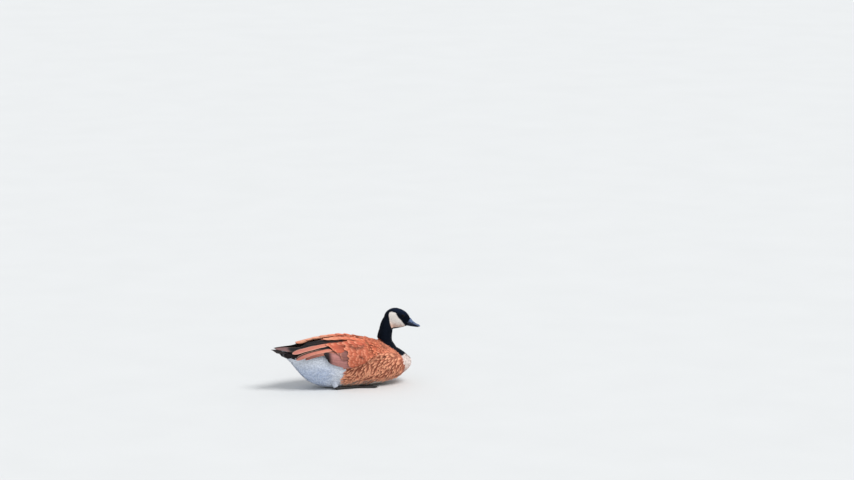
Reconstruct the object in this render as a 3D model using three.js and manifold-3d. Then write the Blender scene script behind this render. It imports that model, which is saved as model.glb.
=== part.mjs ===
// A Canada goose as it floats, life size, made as a still model that rests on its belly.
// Sizes are millimetres. X points to the bill, Y to the bird's left and Z up. Heights are measured from
// the waterline while the bird is shaped, and the whole bird is lifted onto its floor at the end.

import * as THREE from "three";
import { mergeVertices } from "three/addons/utils/BufferGeometryUtils.js";
import Module from "manifold-3d";

const wasm = await Module();
wasm.setup();

// Driving sizes
const DRAFT = 58; // how deep the belly floats
const GAP = 0.3; // clearance between neighbouring pieces
const VANE = 0.8; // thickness of a feather's vane
const TAIL_TIP = -318;
const BREAST = 279; // foremost point of the breast
const HEAD_AT = new THREE.Vector3(221.5, 8, 208); // middle of the skull
const HEAD_DOWN = 17; // degrees that the bill points below level
const HEAD_TURN = -13; // degrees that the head is turned to the bird's right
const EYE_RADIUS = 6.5;
const SHANK_RADIUS = 5.5;

const point = (x, y, z) => new THREE.Vector3(x, y, z);
const { lerp, degToRad } = THREE.MathUtils;

// Solids

function geometryOf(points, index) {
  const geometry = new THREE.BufferGeometry().setFromPoints(points);
  return geometry.setIndex(index);
}

// A closed three.js geometry as a solid whose faces point out.
function solidOf(geometry) {
  const bare = geometry.clone();
  bare.deleteAttribute("normal");
  bare.deleteAttribute("uv");
  const merged = mergeVertices(bare, 1e-4);
  const vertProperties = merged.attributes.position.array;
  const triVerts = new Uint32Array(merged.index.array);
  const made = new wasm.Manifold(new wasm.Mesh({ numProp: 3, vertProperties, triVerts }));
  if (made.volume() > 0) return made;
  triVerts.reverse();
  return new wasm.Manifold(new wasm.Mesh({ numProp: 3, vertProperties, triVerts }));
}

const joined = (solids) => solids.reduce((sum, next) => sum.add(next));
const cutBy = (solid, ...cutters) => cutters.reduce((rest, next) => rest.subtract(next), solid);

// The largest closed body of a solid, without the scraps that a cut leaves.
function largest(solid) {
  const bodies = solid.decompose();
  return bodies.reduce((best, next) => (next.volume() > best.volume() ? next : best));
}

function meshOf(name, solid, material) {
  const made = largest(solid).getMesh();
  const geometry = new THREE.BufferGeometry();
  geometry.setAttribute("position", new THREE.BufferAttribute(new Float32Array(made.vertProperties), 3));
  geometry.setIndex(new THREE.BufferAttribute(new Uint32Array(made.triVerts), 1));
  geometry.computeVertexNormals();
  const mesh = new THREE.Mesh(geometry, material);
  mesh.name = name;
  return mesh;
}

// Shapes

// A closed skin over rings of points, drawn together in a pole at each end.
function loft(rings, firstPole, lastPole) {
  const around = rings[0].length;
  const points = [firstPole, ...rings.flat(), lastPole];
  const pole = points.length - 1;
  const at = (ring, i) => 1 + ring * around + (i % around);
  const index = [];
  for (let i = 0; i < around; i++) {
    index.push(0, at(0, i + 1), at(0, i));
    for (let r = 0; r + 1 < rings.length; r++) {
      index.push(at(r, i), at(r, i + 1), at(r + 1, i));
      index.push(at(r, i + 1), at(r + 1, i + 1), at(r + 1, i));
    }
    index.push(pole, at(rings.length - 1, i), at(rings.length - 1, i + 1));
  }
  return geometryOf(points, index);
}

// A body like a boat's hull. Each line gives x, the top, the widest level, the bottom and the half width
// there, and the first and last lines are the two end points. It can be grown by a small clearance.
function hull(lines, { rings, around, power = 2.15, grow = 0 }) {
  const places = Float32Array.from(lines.keys());
  const sizes = new THREE.CubicInterpolant(places, Float32Array.from(lines.flat()), 5);
  const ends = [lines[0][0], lines[lines.length - 1][0]];
  const middle = (ends[0] + ends[1]) / 2;
  const stretch = 1 + grow / Math.abs(ends[1] - middle);
  const along = (x) => middle + (x - middle) * stretch;
  const bend = (value) => Math.sign(value) * Math.abs(value) ** (2 / power);
  const sections = [];
  for (let r = 1; r <= rings; r++) {
    const [x, top, waist, bottom, half] = sizes.evaluate(((lines.length - 1) * r) / (rings + 1));
    const ring = [];
    for (let i = 0; i < around; i++) {
      const angle = (2 * Math.PI * i) / around;
      const rise = Math.cos(angle) > 0 ? top - waist + grow : waist - bottom + grow;
      const y = (half + grow) * bend(Math.sin(angle));
      ring.push(point(along(x), y, waist + rise * bend(Math.cos(angle))));
    }
    sections.push(ring);
  }
  const pole = (line) => point(along(line[0]), 0, line[2]);
  return loft(sections, pole(lines[0]), pole(lines[lines.length - 1]));
}

// A limb along a path. Each size gives the half width across the bird and the half depth the other way.
function limb(path, sizes, { rings, around, grow = 0 }) {
  const line = new THREE.CatmullRomCurve3(path);
  const places = Float32Array.from(sizes.keys());
  const widths = new THREE.CubicInterpolant(places, Float32Array.from(sizes.flat()), 2);
  const sections = [];
  for (let r = 0; r < rings; r++) {
    const t = r / (rings - 1);
    const [across, deep] = widths.evaluate(t * (sizes.length - 1));
    const forward = line.getTangent(t);
    const side = point(0, 1, 0).addScaledVector(forward, -forward.y).normalize();
    const up = forward.clone().cross(side);
    const ring = [];
    for (let i = 0; i < around; i++) {
      const angle = (2 * Math.PI * i) / around;
      const spot = line.getPoint(t).addScaledVector(side, (across + grow) * Math.cos(angle));
      ring.push(spot.addScaledVector(up, (deep + grow) * Math.sin(angle)));
    }
    sections.push(ring);
  }
  const beyond = (t, way, size) => line.getPoint(t).addScaledVector(line.getTangent(t), way * size);
  const last = sizes[sizes.length - 1];
  return loft(sections, beyond(0, -1, sizes[0][0] / 2 + grow), beyond(1, 1, last[0] / 2 + grow));
}

// An outline in the XZ plane, extruded through the bird from side to side.
function sideCut(outline, halfWidth) {
  const shape = new THREE.Shape(outline.map(([x, z]) => new THREE.Vector2(x, z)));
  const slab = new THREE.ExtrudeGeometry(shape, { depth: 2 * halfWidth, bevelEnabled: false });
  slab.rotateX(Math.PI / 2);
  return slab.translate(0, halfWidth, 0);
}

// A curved sheet through three guide lines, such as the face of a folded wing. u runs from front to rear
// and v from the first guide line to the last.
class Sheet {
  constructor(...guides) {
    this.guides = guides.map((points) => new THREE.CatmullRomCurve3(points));
  }

  at(u, v) {
    const place = THREE.MathUtils.clamp(u, 0, 1);
    const [a, b, c] = this.guides.map((guide) => guide.getPoint(place));
    const spot = a.multiplyScalar((1 - v) * (1 - 2 * v));
    return spot.addScaledVector(b, 4 * v * (1 - v)).addScaledVector(c, v * (2 * v - 1));
  }

  normal(u, v) {
    const step = 0.01;
    const along = this.at(u + step, v).sub(this.at(u - step, v));
    const across = this.at(u, v + step).sub(this.at(u, v - step));
    return along.cross(across).normalize();
  }

  raised(u, v, height) {
    return this.at(u, v).addScaledVector(this.normal(u, v), height);
  }

  // Millimetres for a unit of v.
  span(u, v) {
    return this.at(u, v + 0.05).distanceTo(this.at(u, v - 0.05)) / 0.1;
  }
}

// A closed plate over a grid of spots: rows run along it and each row crosses it. spot(row, column, face)
// gives a point of the upper face for face 1 and of the lower face for face 0.
function plate(rows, columns, spot) {
  const points = [];
  for (const face of [1, 0]) {
    for (let r = 0; r < rows; r++) {
      for (let c = 0; c < columns; c++) points.push(spot(r, c, face));
    }
  }
  const at = (r, c, face) => (face ? 0 : rows * columns) + r * columns + c;
  const index = [];
  const quad = (a, b, c, d) => index.push(a, b, c, a, c, d);
  for (let r = 0; r + 1 < rows; r++) {
    for (let c = 0; c + 1 < columns; c++) {
      quad(at(r, c, 1), at(r + 1, c, 1), at(r + 1, c + 1, 1), at(r, c + 1, 1));
      index.push(at(r, c, 0), at(r + 1, c + 1, 0), at(r + 1, c, 0));
      index.push(at(r, c, 0), at(r, c + 1, 0), at(r + 1, c + 1, 0));
    }
    quad(at(r, 0, 1), at(r, 0, 0), at(r + 1, 0, 0), at(r + 1, 0, 1));
    const last = columns - 1;
    quad(at(r, last, 0), at(r, last, 1), at(r + 1, last, 1), at(r + 1, last, 0));
  }
  for (let c = 0; c + 1 < columns; c++) {
    quad(at(0, c, 0), at(0, c, 1), at(0, c + 1, 1), at(0, c + 1, 0));
    quad(at(rows - 1, c, 1), at(rows - 1, c, 0), at(rows - 1, c + 1, 0), at(rows - 1, c + 1, 1));
  }
  return geometryOf(points, index);
}

// Share of a feather's full half width from its root to its tip, row by row.
const OUTLINES = {
  3: [0.62, 0.9, 1, 0.6],
  4: [0.55, 0.8, 0.95, 1, 0.55],
  5: [0.5, 0.7, 0.85, 0.96, 1, 0.5],
};

// One feather as a thin plate that lies along a sheet from root to tip, [u, v] each. It rises from the
// first lift to the second, its edges droop a little from the shaft, and it leans by tilt.
function feather(sheet, { root, tip, half, lift, tilt = 0, steps = 3 }) {
  const outline = OUTLINES[steps];
  const droop = 0.06 * half;
  const roundTip = (0.35 * half) / sheet.at(...root).distanceTo(sheet.at(...tip));
  return plate(steps + 1, 3, (row, column, face) => {
    const side = column - 1;
    const along = row / steps - (row === steps && side ? roundTip : 0);
    const u = lerp(root[0], tip[0], along);
    const middle = lerp(root[1], tip[1], along);
    const v = middle + (side * half * outline[row]) / sheet.span(u, middle);
    const thick = row === steps ? VANE * 0.7 : VANE;
    const rise = lerp(lift[0], lift[1], along) + side * tilt - (side ? droop : 0);
    return sheet.raised(u, v, rise + (face - 0.5) * thick);
  });
}

// A row of like feathers whose roots and tips are spread evenly between the first and the last.
function tier(sheet, count, { roots, tips, halves, lift, tilt, steps }) {
  const made = [];
  for (let i = 0; i < count; i++) {
    const share = count > 1 ? i / (count - 1) : 0;
    const between = ([first, last]) => first.map((value, k) => lerp(value, last[k], share));
    const half = lerp(halves[0], halves[1], share);
    const size = { root: between(roots), tip: between(tips), half, lift, tilt, steps };
    made.push(solidOf(feather(sheet, size)));
  }
  return made;
}

// Finishes
const finish = (color, roughness) => new THREE.MeshStandardMaterial({ color, roughness, metalness: 0 });
const brown = finish(0xb5694a, 0.8);
const mantleBrown = finish(0xa95f42, 0.8);
const tailBlack = finish(0x1c1716, 0.7);
const neckBlack = finish(0x0c0e14, 0.75);
const white = finish(0xd8dbdf, 0.85);
const cream = finish(0xd9c9ba, 0.85);
const billBlack = finish(0x23262c, 0.4);
const eyeBrown = finish(0x120c0a, 0.08);
const legBlack = finish(0x24221f, 0.55);

// Torso: the trunk from the vent to the breast, flat where it rests
const TRUNK = [
  [-284, 97, 95, 93, 0],
  [-279, 102, 94, 86, 16],
  [-261, 105, 92, 75, 28],
  [-238, 107, 88, 55, 41],
  [-208, 112, 82, 16, 58],
  [-172, 120, 74, -22, 73],
  [-125, 132, 64, -47, 86],
  [-65, 144, 56, -61, 95],
  [0, 149, 52, -61, 99],
  [65, 142, 48, -61, 99],
  [125, 126, 42, -58, 96],
  [175, 108, 38, -47, 88],
  [217, 88, 35, -31, 75],
  [250, 65, 31, -11, 57],
  [270, 48, 28, 7, 35],
  [BREAST, 30, 28, 26, 0],
];
const trunk = (grow) => solidOf(hull(TRUNK, { rings: 26, around: 28, grow }));
const HALF_ROOM = 200; // half the width of the blocks that cut through the whole bird
const floorBlock = solidOf(
  new THREE.BoxGeometry(5 * HALF_ROOM, 2 * HALF_ROOM, HALF_ROOM).translate(0, 0, -DRAFT - HALF_ROOM / 2),
);

// The white rear, the pale breast and the black foot of the neck are parted from the trunk by thin cuts
// along these outlines, seen from the side.
const VENT_OUTLINE = [
  [-20, -90],
  [-42, 0],
  [-90, 48],
  [-143, 82],
  [-200, 88],
  [-262, 84],
  [-300, 96],
  [-330, 60],
  [-330, -90],
];
const BREAST_OUTLINE = [
  [300, 82],
  [250, 65],
  [216, 62],
  [219, 40],
  [230, 14],
  [222, -20],
  [198, -90],
  [300, -90],
];
const NECK_OUTLINE = [
  [300, 82],
  [250, 65],
  [216, 62],
  [193, 84],
  [158, 108],
  [130, 136],
  [100, 180],
  [100, 300],
  [300, 300],
];
// The same outline with every corner moved out from its middle, far enough to clear a slanting side too.
const CORNER_SHARE = 1.6;
function widened(outline, by) {
  const middle = new THREE.Box2().setFromPoints(outline.map(([x, z]) => new THREE.Vector2(x, z)));
  const centre = middle.getCenter(new THREE.Vector2());
  return outline.map(([x, z]) => {
    const away = new THREE.Vector2(x, z).sub(centre);
    return away.setLength(away.length() + CORNER_SHARE * by).add(centre).toArray();
  });
}
const sideBlock = (outline, grow) => solidOf(sideCut(widened(outline, grow), HALF_ROOM));

// Neck: from the breast straight up, then forward into the head
const NECK_PATH = [
  point(186, 0, 30),
  point(175, 0, 72),
  point(165, 1, 106),
  point(165.5, 3, 133),
  point(171.5, 5, 157),
  point(178, 9, 180),
  point(186, 13, 200),
  point(193, 14, 214),
];
const NECK_SIZES = [
  [44, 50],
  [41, 45],
  [33, 35],
  [29, 31],
  [26, 28.8],
  [23, 27],
  [19, 23],
  [13, 16],
];
const neckTube = (grow) => solidOf(limb(NECK_PATH, NECK_SIZES, { rings: 15, around: 18, grow }));

// The head is parted from the neck by a level cut across the neck's own direction.
const NECK_CUT = point(174, 7, 166);
const NECK_CUT_WAY = point(0.27, 0.1, 0.96).normalize();
function aboveNeckCut(grow) {
  const room = 2 * HALF_ROOM;
  const turn = new THREE.Quaternion().setFromUnitVectors(point(0, 0, 1), NECK_CUT_WAY);
  const place = new THREE.Matrix4().compose(NECK_CUT, turn, point(1, 1, 1));
  const block = new THREE.BoxGeometry(room, room, room).translate(0, 0, room / 2 - grow);
  return solidOf(block.applyMatrix4(place));
}

// Head: made level at the origin and then tipped, turned and lifted to its place
const headPlace = new THREE.Matrix4().makeTranslation(HEAD_AT.x, HEAD_AT.y, HEAD_AT.z);
headPlace.multiply(new THREE.Matrix4().makeRotationZ(degToRad(HEAD_TURN)));
headPlace.multiply(new THREE.Matrix4().makeRotationY(degToRad(HEAD_DOWN)));
const onHead = (geometry) => solidOf(geometry.applyMatrix4(headPlace));

const SKULL = [
  [-53, -4, -6, -8, 0],
  [-49, 9, -4, -24, 12],
  [-42, 20, -2, -38, 19.5],
  [-30, 31, 0, -49, 24.5],
  [-14, 37, 1, -53, 26],
  [6, 37.6, 0, -47, 25],
  [24, 33.8, -1, -38.5, 21.5],
  [38, 26.5, -3, -31.5, 17.5],
  [48, 17.5, -5, -24.5, 13.5],
  [57, 6.5, -6, -18, 9],
  [61, -5, -6, -7, 0],
];
const skull = (grow, rings = 13, around = 18) => onHead(hull(SKULL, { rings, around, grow }));

// Bill: a deep base that runs out flat to the nail, with the mouth's line between its two halves
const UPPER_BILL = [
  [35, 0, -6, -8, 0],
  [37, 12.5, -8, -13, 13],
  [54, 12, -9, -13.6, 13],
  [66, 3.6, -9, -13.6, 12],
  [78, -1.6, -9.4, -13.1, 11],
  [89, -4.4, -10, -12.6, 9.8],
  [97, -5.6, -9.8, -13.2, 7.4],
  [102, -9.4, -10.6, -12.2, 0],
];
const LOWER_BILL = [
  [35, -17, -18, -19, 0],
  [38, -14.4, -17, -22.4, 11],
  [54, -14.5, -17, -21.6, 10.6],
  [72, -14.4, -16.6, -19.6, 9.2],
  [88, -13.7, -15.2, -17.2, 7.4],
  [97, -15, -15.4, -16, 0],
];
const BILL_BORDER = [
  [30, 40],
  [60, 40],
  [55, 10],
  [50, -3],
  [43, -14],
  [46, -40],
  [30, -40],
];
const HALF_HEAD = 40; // half the width of the blocks that cut through the head
const upperBill = (grow) => onHead(hull(UPPER_BILL, { rings: 14, around: 18, power: 2.3, grow }));
const lowerBill = (grow) => onHead(hull(LOWER_BILL, { rings: 10, around: 14, grow }));
const billBorder = onHead(sideCut(BILL_BORDER, HALF_HEAD));
const nostrils = [-1, 1].map((side) => {
  const pit = new THREE.CylinderGeometry(2.1, 2.1, 7, 12).scale(2.1, 1, 0.85);
  return onHead(pit.rotateY(degToRad(14)).translate(68, side * 11.5, -3.6));
});

// Eyes with a ring of lid round each
const eyeSpot = (side) => [18, side * 16.6, 15];
const eye = (side, grow) => {
  return onHead(new THREE.SphereGeometry(EYE_RADIUS + grow, 12, 9).translate(...eyeSpot(side)));
};
const lid = (side) => {
  const ring = new THREE.TorusGeometry(5.5, 1.5, 5, 12).scale(1.08, 0.94, 1);
  return onHead(ring.rotateX(Math.PI / 2 - side * degToRad(22)).translate(18, side * 19.9, 16.2));
};

// White cheeks that meet under the throat: a shallow layer of the head, cut out by its outline
const CHEEK_OUTLINE = [
  [-39, 12],
  [-33, 18],
  [-14, 20],
  [-7, 12],
  [0, 5],
  [17, -5],
  [35, -18],
  [41, -24],
  [36, -60],
  [-8, -60],
  [-9, -48],
  [-21, -35],
  [-31, -14],
  [-38, 1],
];
const CHEEK_DEPTH = 4;
function cheekRegion(grow) {
  const block = onHead(sideCut(widened(CHEEK_OUTLINE, grow), HALF_HEAD));
  return block.subtract(skull(-CHEEK_DEPTH - grow, 8, 10));
}

// Folded wings: a slab over the flank that carries every feather of the wing. The guide lines are the
// right wing's upper edge, face and lower edge, each from the shoulder to the tips of the tertials.
const WING_UPPER = [
  point(132, -35, 127),
  point(80, -33, 143),
  point(0, -29, 153),
  point(-80, -25, 150),
  point(-150, -20, 141),
  point(-236, -14, 126),
];
const WING_FACE = [
  point(132, -90, 92),
  point(80, -96, 96),
  point(0, -99, 105),
  point(-80, -92, 108),
  point(-150, -79, 110),
  point(-256, -46, 96),
];
const WING_LOWER = [
  point(116, -101, 62),
  point(65, -104, 48),
  point(-10, -105, 34),
  point(-80, -101, 55),
  point(-143, -88, 84),
  point(-226, -63, 69),
];
// The primaries lie under the tertials and run out over the rump, in a sheet of their own.
const QUILL_UPPER = [
  point(-80, -76, 122),
  point(-165, -52, 121),
  point(-240, -24, 118),
  point(-306, -8, 118),
];
const QUILL_MIDDLE = [
  point(-80, -86, 108),
  point(-165, -62, 110),
  point(-240, -32, 110),
  point(-298, -15, 112),
];
const QUILL_LOWER = [
  point(-80, -88, 94),
  point(-165, -68, 99),
  point(-232, -40, 102),
  point(-280, -23, 105),
];

const SLAB_ROWS = 10;
const SLAB_COLUMNS = 7;
const SLAB_END = 0.62; // how far back the slab reaches along the wing's sheet
const SLAB_FACE = -1; // the slab's outer face, under the sheet that the feathers follow
const SLAB_RIM = -9; // its rim, sunk so that it meets the trunk in one clean line
const SLAB_BACK = -17;
function wingSlab(sheet) {
  return plate(SLAB_ROWS, SLAB_COLUMNS, (row, column, face) => {
    const u = (SLAB_END * row) / (SLAB_ROWS - 1);
    const v = 0.03 + (0.94 * column) / (SLAB_COLUMNS - 1);
    const onEdge = row === 0 || column === 0 || column === SLAB_COLUMNS - 1;
    return sheet.raised(u, v, face ? (onEdge ? SLAB_RIM : SLAB_FACE) : SLAB_BACK);
  });
}

// The wing's rows of feathers: coverts in two tiers, secondaries, tertials, primaries and scapulars. Each
// row's tips lie over the roots of the next. innerReach is how far back the scapulars run.
function wing(innerReach) {
  const face = new Sheet(WING_UPPER, WING_FACE, WING_LOWER);
  const quills = new Sheet(QUILL_UPPER, QUILL_MIDDLE, QUILL_LOWER);
  const rows = [
    tier(face, 5, {
      roots: [[0.16, 0.28], [0.16, 0.84]],
      tips: [[0.38, 0.25], [0.36, 0.84]],
      halves: [14, 13],
      lift: [-4.5, 2.6],
      tilt: 0.7,
      steps: 3,
    }),
    tier(face, 5, {
      roots: [[0.3, 0.36], [0.28, 0.86]],
      tips: [[0.55, 0.33], [0.49, 0.84]],
      halves: [14, 12],
      lift: [-4.5, 2.4],
      tilt: 0.7,
      steps: 3,
    }),
    tier(face, 4, {
      roots: [[0.4, 0.76], [0.36, 0.93]],
      tips: [[0.67, 0.8], [0.61, 0.96]],
      halves: [10, 9],
      lift: [-4.5, 0.4],
      tilt: 0.6,
      steps: 3,
    }),
    tier(face, 4, {
      roots: [[0.44, 0.3], [0.46, 0.74]],
      tips: [[0.95, 0.24], [0.99, 0.93]],
      halves: [13, 10.5],
      lift: [-5, 2],
      tilt: 0.8,
      steps: 5,
    }),
    tier(quills, 6, {
      roots: [[0.02, 0.3], [0.02, 0.62]],
      tips: [[1, 0.1], [0.74, 0.92]],
      halves: [9, 9],
      lift: [1.5, 0],
      tilt: 0.6,
      steps: 4,
    }),
    tier(face, 4, {
      roots: [[0.1, 0.19], [innerReach - 0.38, 0.19]],
      tips: [[0.34, 0.12], [innerReach, 0.07]],
      halves: [15, 12],
      lift: [-4.5, 3],
      tilt: -0.6,
      steps: 3,
    }),
    tier(face, 3, {
      roots: [[0.22, 0.27], [0.46, 0.27]],
      tips: [[0.47, 0.23], [0.78, 0.2]],
      halves: [15, 13],
      lift: [-4.5, 3.2],
      tilt: -0.6,
      steps: 3,
    }),
  ];
  return joined([solidOf(wingSlab(face)), ...rows.flat()]);
}
const mirrored = (solid) => solid.mirror([0, 1, 0]);

// Tail: a closed fan of feathers, shallow as a roof, out of the trunk's end
const TAIL_FEATHERS = 14;
const tailSheet = new Sheet(
  [point(-225, 17, 91), point(-270, 27, 99), point(-308, 36, 103)],
  [point(-225, 0, 97), point(-272, 0, 107), point(TAIL_TIP, 0, 112)],
  [point(-225, -17, 91), point(-270, -27, 99), point(-308, -36, 103)],
);
function tail() {
  const made = [solidOf(new THREE.SphereGeometry(1, 12, 6).scale(34, 27, 5.5).translate(-258, 0, 99))];
  for (let i = 0; i < TAIL_FEATHERS; i++) {
    const side = (2 * i) / (TAIL_FEATHERS - 1) - 1;
    const vane = feather(tailSheet, {
      root: [0.12, 0.5 + 0.42 * side],
      tip: [1 - 0.04 * Math.abs(side), 0.5 + 0.42 * side],
      half: 5.8,
      lift: [0, 0.4 - 1.2 * Math.abs(side)],
      tilt: side < 0 ? -1.2 : 1.2,
      steps: 3,
    });
    made.push(solidOf(vane));
  }
  return joined(made);
}

// Legs: folded under the belly, the shank along the floor from the ankle to the webbed foot
const FOOT_AT = [26, -61];
const LEG_PATH = [
  point(-52, -52, 0),
  point(-68, -60, -34),
  point(-62, -62, -DRAFT + 7.5),
  point(-34, -62, -DRAFT + 6),
  point(FOOT_AT[0], FOOT_AT[1], -DRAFT + 5.4),
];
const LEG_SIZES = [
  [11, 12],
  [8.5, 9.5],
  [6.8, 7],
  [SHANK_RADIUS, 5],
  [5, 5.2],
];
const leg = (grow) => solidOf(limb(LEG_PATH, LEG_SIZES, { rings: 12, around: 10, grow }));

const TOES = [
  { reach: 70, turn: 12, thick: 4 },
  { reach: 88, turn: -4, thick: 4.4 },
  { reach: 80, turn: -20, thick: 4.2 },
];
function foot() {
  const [x, y] = FOOT_AT;
  const tipOf = ({ reach, turn }, share) => {
    const way = degToRad(turn);
    return point(x + share * reach * Math.cos(way), y + share * reach * Math.sin(way), 0);
  };
  const made = TOES.map((toe) => {
    const path = [0, 0.35, 0.7, 1].map((share) => {
      const knuckle = 0.5 + 0.5 * Math.cos(share * 4 * Math.PI);
      return tipOf(toe, share).setZ(-DRAFT + toe.thick * (0.85 - 0.35 * share) + 0.4 * knuckle);
    });
    const sizes = [1, 0.9, 0.72, 0.3].map((share) => [toe.thick * share, toe.thick * share]);
    return solidOf(limb(path, sizes, { rings: 5, around: 6 }));
  });
  const web = new THREE.Shape([new THREE.Vector2(x - 3, y)]);
  const edge = [];
  TOES.forEach((toe, i) => {
    edge.push(tipOf(toe, 0.86));
    if (i + 1 < TOES.length) edge.push(tipOf(toe, 0.66).add(tipOf(TOES[i + 1], 0.66)).multiplyScalar(0.5));
  });
  edge.forEach((spot) => web.lineTo(spot.x, spot.y));
  const skin = new THREE.ExtrudeGeometry(web, { depth: 1.6, bevelEnabled: false });
  skin.translate(0, 0, -DRAFT + 0.6);
  const hindToe = [
    point(x - 4, y + 3, -DRAFT + 5),
    point(x - 12, y + 6, -DRAFT + 4),
    point(x - 17, y + 8, -DRAFT + 3),
  ];
  made.push(solidOf(skin), solidOf(limb(hindToe, [[2.6, 2.6], [2, 2], [1, 1]], { rings: 4, around: 6 })));
  return joined(made);
}

// Flesh: trunk, neck and head as one body, parted afterwards
const trunkGrown = trunk(GAP);
const eyeHoles = joined([eye(1, GAP), eye(-1, GAP)]);
const billHole = cutBy(joined([upperBill(GAP), lowerBill(GAP)]), billBorder);
const trunkOnFloor = trunk(0).subtract(floorBlock);
const flesh = cutBy(joined([trunkOnFloor, neckTube(0), skull(0), lid(1), lid(-1)]), billHole, eyeHoles);
const neckAndHead = flesh.intersect(sideBlock(NECK_OUTLINE, 0));
const head = neckAndHead.intersect(aboveNeckCut(0));
const trunkCuts = [VENT_OUTLINE, BREAST_OUTLINE, NECK_OUTLINE].map((outline) => sideBlock(outline, GAP));

const flightCuts = [trunkGrown, neckTube(GAP)];
const NEAR_REACH = 0.74;
const FAR_REACH = 0.94; // the left wing lies a little higher, so more of its inner row shows
const rightWing = cutBy(wing(NEAR_REACH), ...flightCuts);
const leftWing = cutBy(mirrored(wing(FAR_REACH)), ...flightCuts);
const rightLeg = cutBy(leg(0), trunkGrown, floorBlock);
const rightFoot = cutBy(foot(), leg(GAP), trunkGrown, floorBlock);

const goose = new THREE.Group();
goose.add(meshOf("torso", cutBy(trunkOnFloor, ...trunkCuts), brown));
goose.add(meshOf("vent", trunkOnFloor.intersect(sideBlock(VENT_OUTLINE, 0)), white));
goose.add(meshOf("breast", trunkOnFloor.intersect(sideBlock(BREAST_OUTLINE, -GAP)), cream));
goose.add(meshOf("neck", neckAndHead.subtract(aboveNeckCut(GAP)), neckBlack));
goose.add(meshOf("head", head.subtract(cheekRegion(GAP)), neckBlack));
goose.add(meshOf("cheek_patch", head.intersect(cheekRegion(0)), white));
goose.add(meshOf("bill_upper", cutBy(upperBill(0), billBorder, ...nostrils), billBlack));
goose.add(meshOf("bill_lower", cutBy(lowerBill(0), billBorder, upperBill(GAP)), billBlack));
goose.add(meshOf("tail", cutBy(tail(), trunkGrown), tailBlack));
goose.add(meshOf("wing_right", rightWing, mantleBrown));
goose.add(meshOf("wing_left", leftWing, mantleBrown));
for (const [side, way] of [["right", -1], ["left", 1]]) {
  const toSide = (solid) => (way < 0 ? solid : mirrored(solid));
  goose.add(meshOf(`eye_${side}`, eye(way, 0), eyeBrown));
  goose.add(meshOf(`leg_${side}`, toSide(rightLeg), legBlack));
  goose.add(meshOf(`foot_${side}`, toSide(rightFoot), legBlack));
}

// Set the bird on its floor, with the origin under the middle of its length.
goose.position.z = DRAFT;
goose.updateMatrixWorld(true);
const reach = new THREE.Box3().setFromObject(goose);
goose.position.x = -(reach.min.x + reach.max.x) / 2;
goose.position.y = -(reach.min.y + reach.max.y) / 2;

export default goose;
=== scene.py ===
import math

import bmesh
import bpy
import numpy as np
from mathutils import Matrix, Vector
from mathutils.bvhtree import BVHTree


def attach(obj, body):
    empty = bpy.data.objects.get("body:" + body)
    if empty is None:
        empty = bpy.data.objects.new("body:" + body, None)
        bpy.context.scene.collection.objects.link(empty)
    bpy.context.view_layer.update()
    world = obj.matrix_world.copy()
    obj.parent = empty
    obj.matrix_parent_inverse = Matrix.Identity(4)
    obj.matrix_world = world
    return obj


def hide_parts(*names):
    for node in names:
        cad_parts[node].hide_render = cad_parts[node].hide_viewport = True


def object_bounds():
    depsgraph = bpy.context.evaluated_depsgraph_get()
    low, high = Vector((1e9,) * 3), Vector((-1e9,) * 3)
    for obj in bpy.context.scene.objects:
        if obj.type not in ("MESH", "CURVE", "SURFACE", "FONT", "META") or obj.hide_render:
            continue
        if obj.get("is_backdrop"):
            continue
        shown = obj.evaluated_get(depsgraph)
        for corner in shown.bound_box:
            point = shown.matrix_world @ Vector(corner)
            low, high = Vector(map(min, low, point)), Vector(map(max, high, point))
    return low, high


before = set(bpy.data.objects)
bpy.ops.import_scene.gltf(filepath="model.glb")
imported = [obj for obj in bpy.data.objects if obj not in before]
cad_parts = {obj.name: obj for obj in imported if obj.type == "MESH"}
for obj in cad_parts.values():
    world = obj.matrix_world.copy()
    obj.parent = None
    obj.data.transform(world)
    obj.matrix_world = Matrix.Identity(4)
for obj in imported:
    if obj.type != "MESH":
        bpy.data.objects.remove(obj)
cad_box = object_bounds()

# Camera: a long lens on the bird's right, a little behind it and above the water.
# The waterline under the middle of the body falls on its place in the photograph.
PHOTO_WIDTH, PHOTO_HEIGHT = 854, 480
METRES_PER_PIXEL = 0.00405
AZIMUTH, ELEVATION = math.radians(-19), math.radians(12)
DISTANCE = 16.0
SENSOR = 36.0
BODY_AT = np.array((2.07, 0.0, 58.0))  # the waterline under the body's middle, in millimetres
BODY_PIXEL = (346.25, 371.6)
MM = 0.001


def put_in_scene(name, data):
    made = bpy.data.objects.new(name, data)
    bpy.context.scene.collection.objects.link(made)
    return made


def make_camera():
    flat = math.cos(ELEVATION)
    back = Vector((math.sin(AZIMUTH) * flat, -math.cos(AZIMUTH) * flat, math.sin(ELEVATION)))
    right = BODY_PIXEL[0] - PHOTO_WIDTH / 2
    up = PHOTO_HEIGHT / 2 - BODY_PIXEL[1]
    focal = DISTANCE / METRES_PER_PIXEL
    focal *= focal / math.sqrt(focal**2 + right**2 + up**2)
    ray = Vector((right, up, focal)).normalized()
    pitch = math.asin(-back.z / math.hypot(ray.y, ray.z)) - math.atan2(ray.y, ray.z)
    level = ray.z * math.cos(pitch) - ray.y * math.sin(pitch)
    heading = math.atan2(-back.x, -back.y) - math.atan2(ray.x, level)
    lens = bpy.data.cameras.new("camera")
    lens.sensor_width = SENSOR
    lens.lens = focal * SENSOR / PHOTO_WIDTH
    lens.clip_end = 500
    camera = put_in_scene("camera", lens)
    camera.location = Vector(BODY_AT * MM) + back * DISTANCE
    camera.rotation_euler = (math.pi / 2 + pitch, 0, -heading)
    bpy.context.scene.camera = camera


make_camera()


# Floor and light: a plain pale floor that runs on to the horizon, under an even sky
# and one wide soft lamp from above the bird's right side.
FLOOR_REACH = 300  # metres


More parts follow.
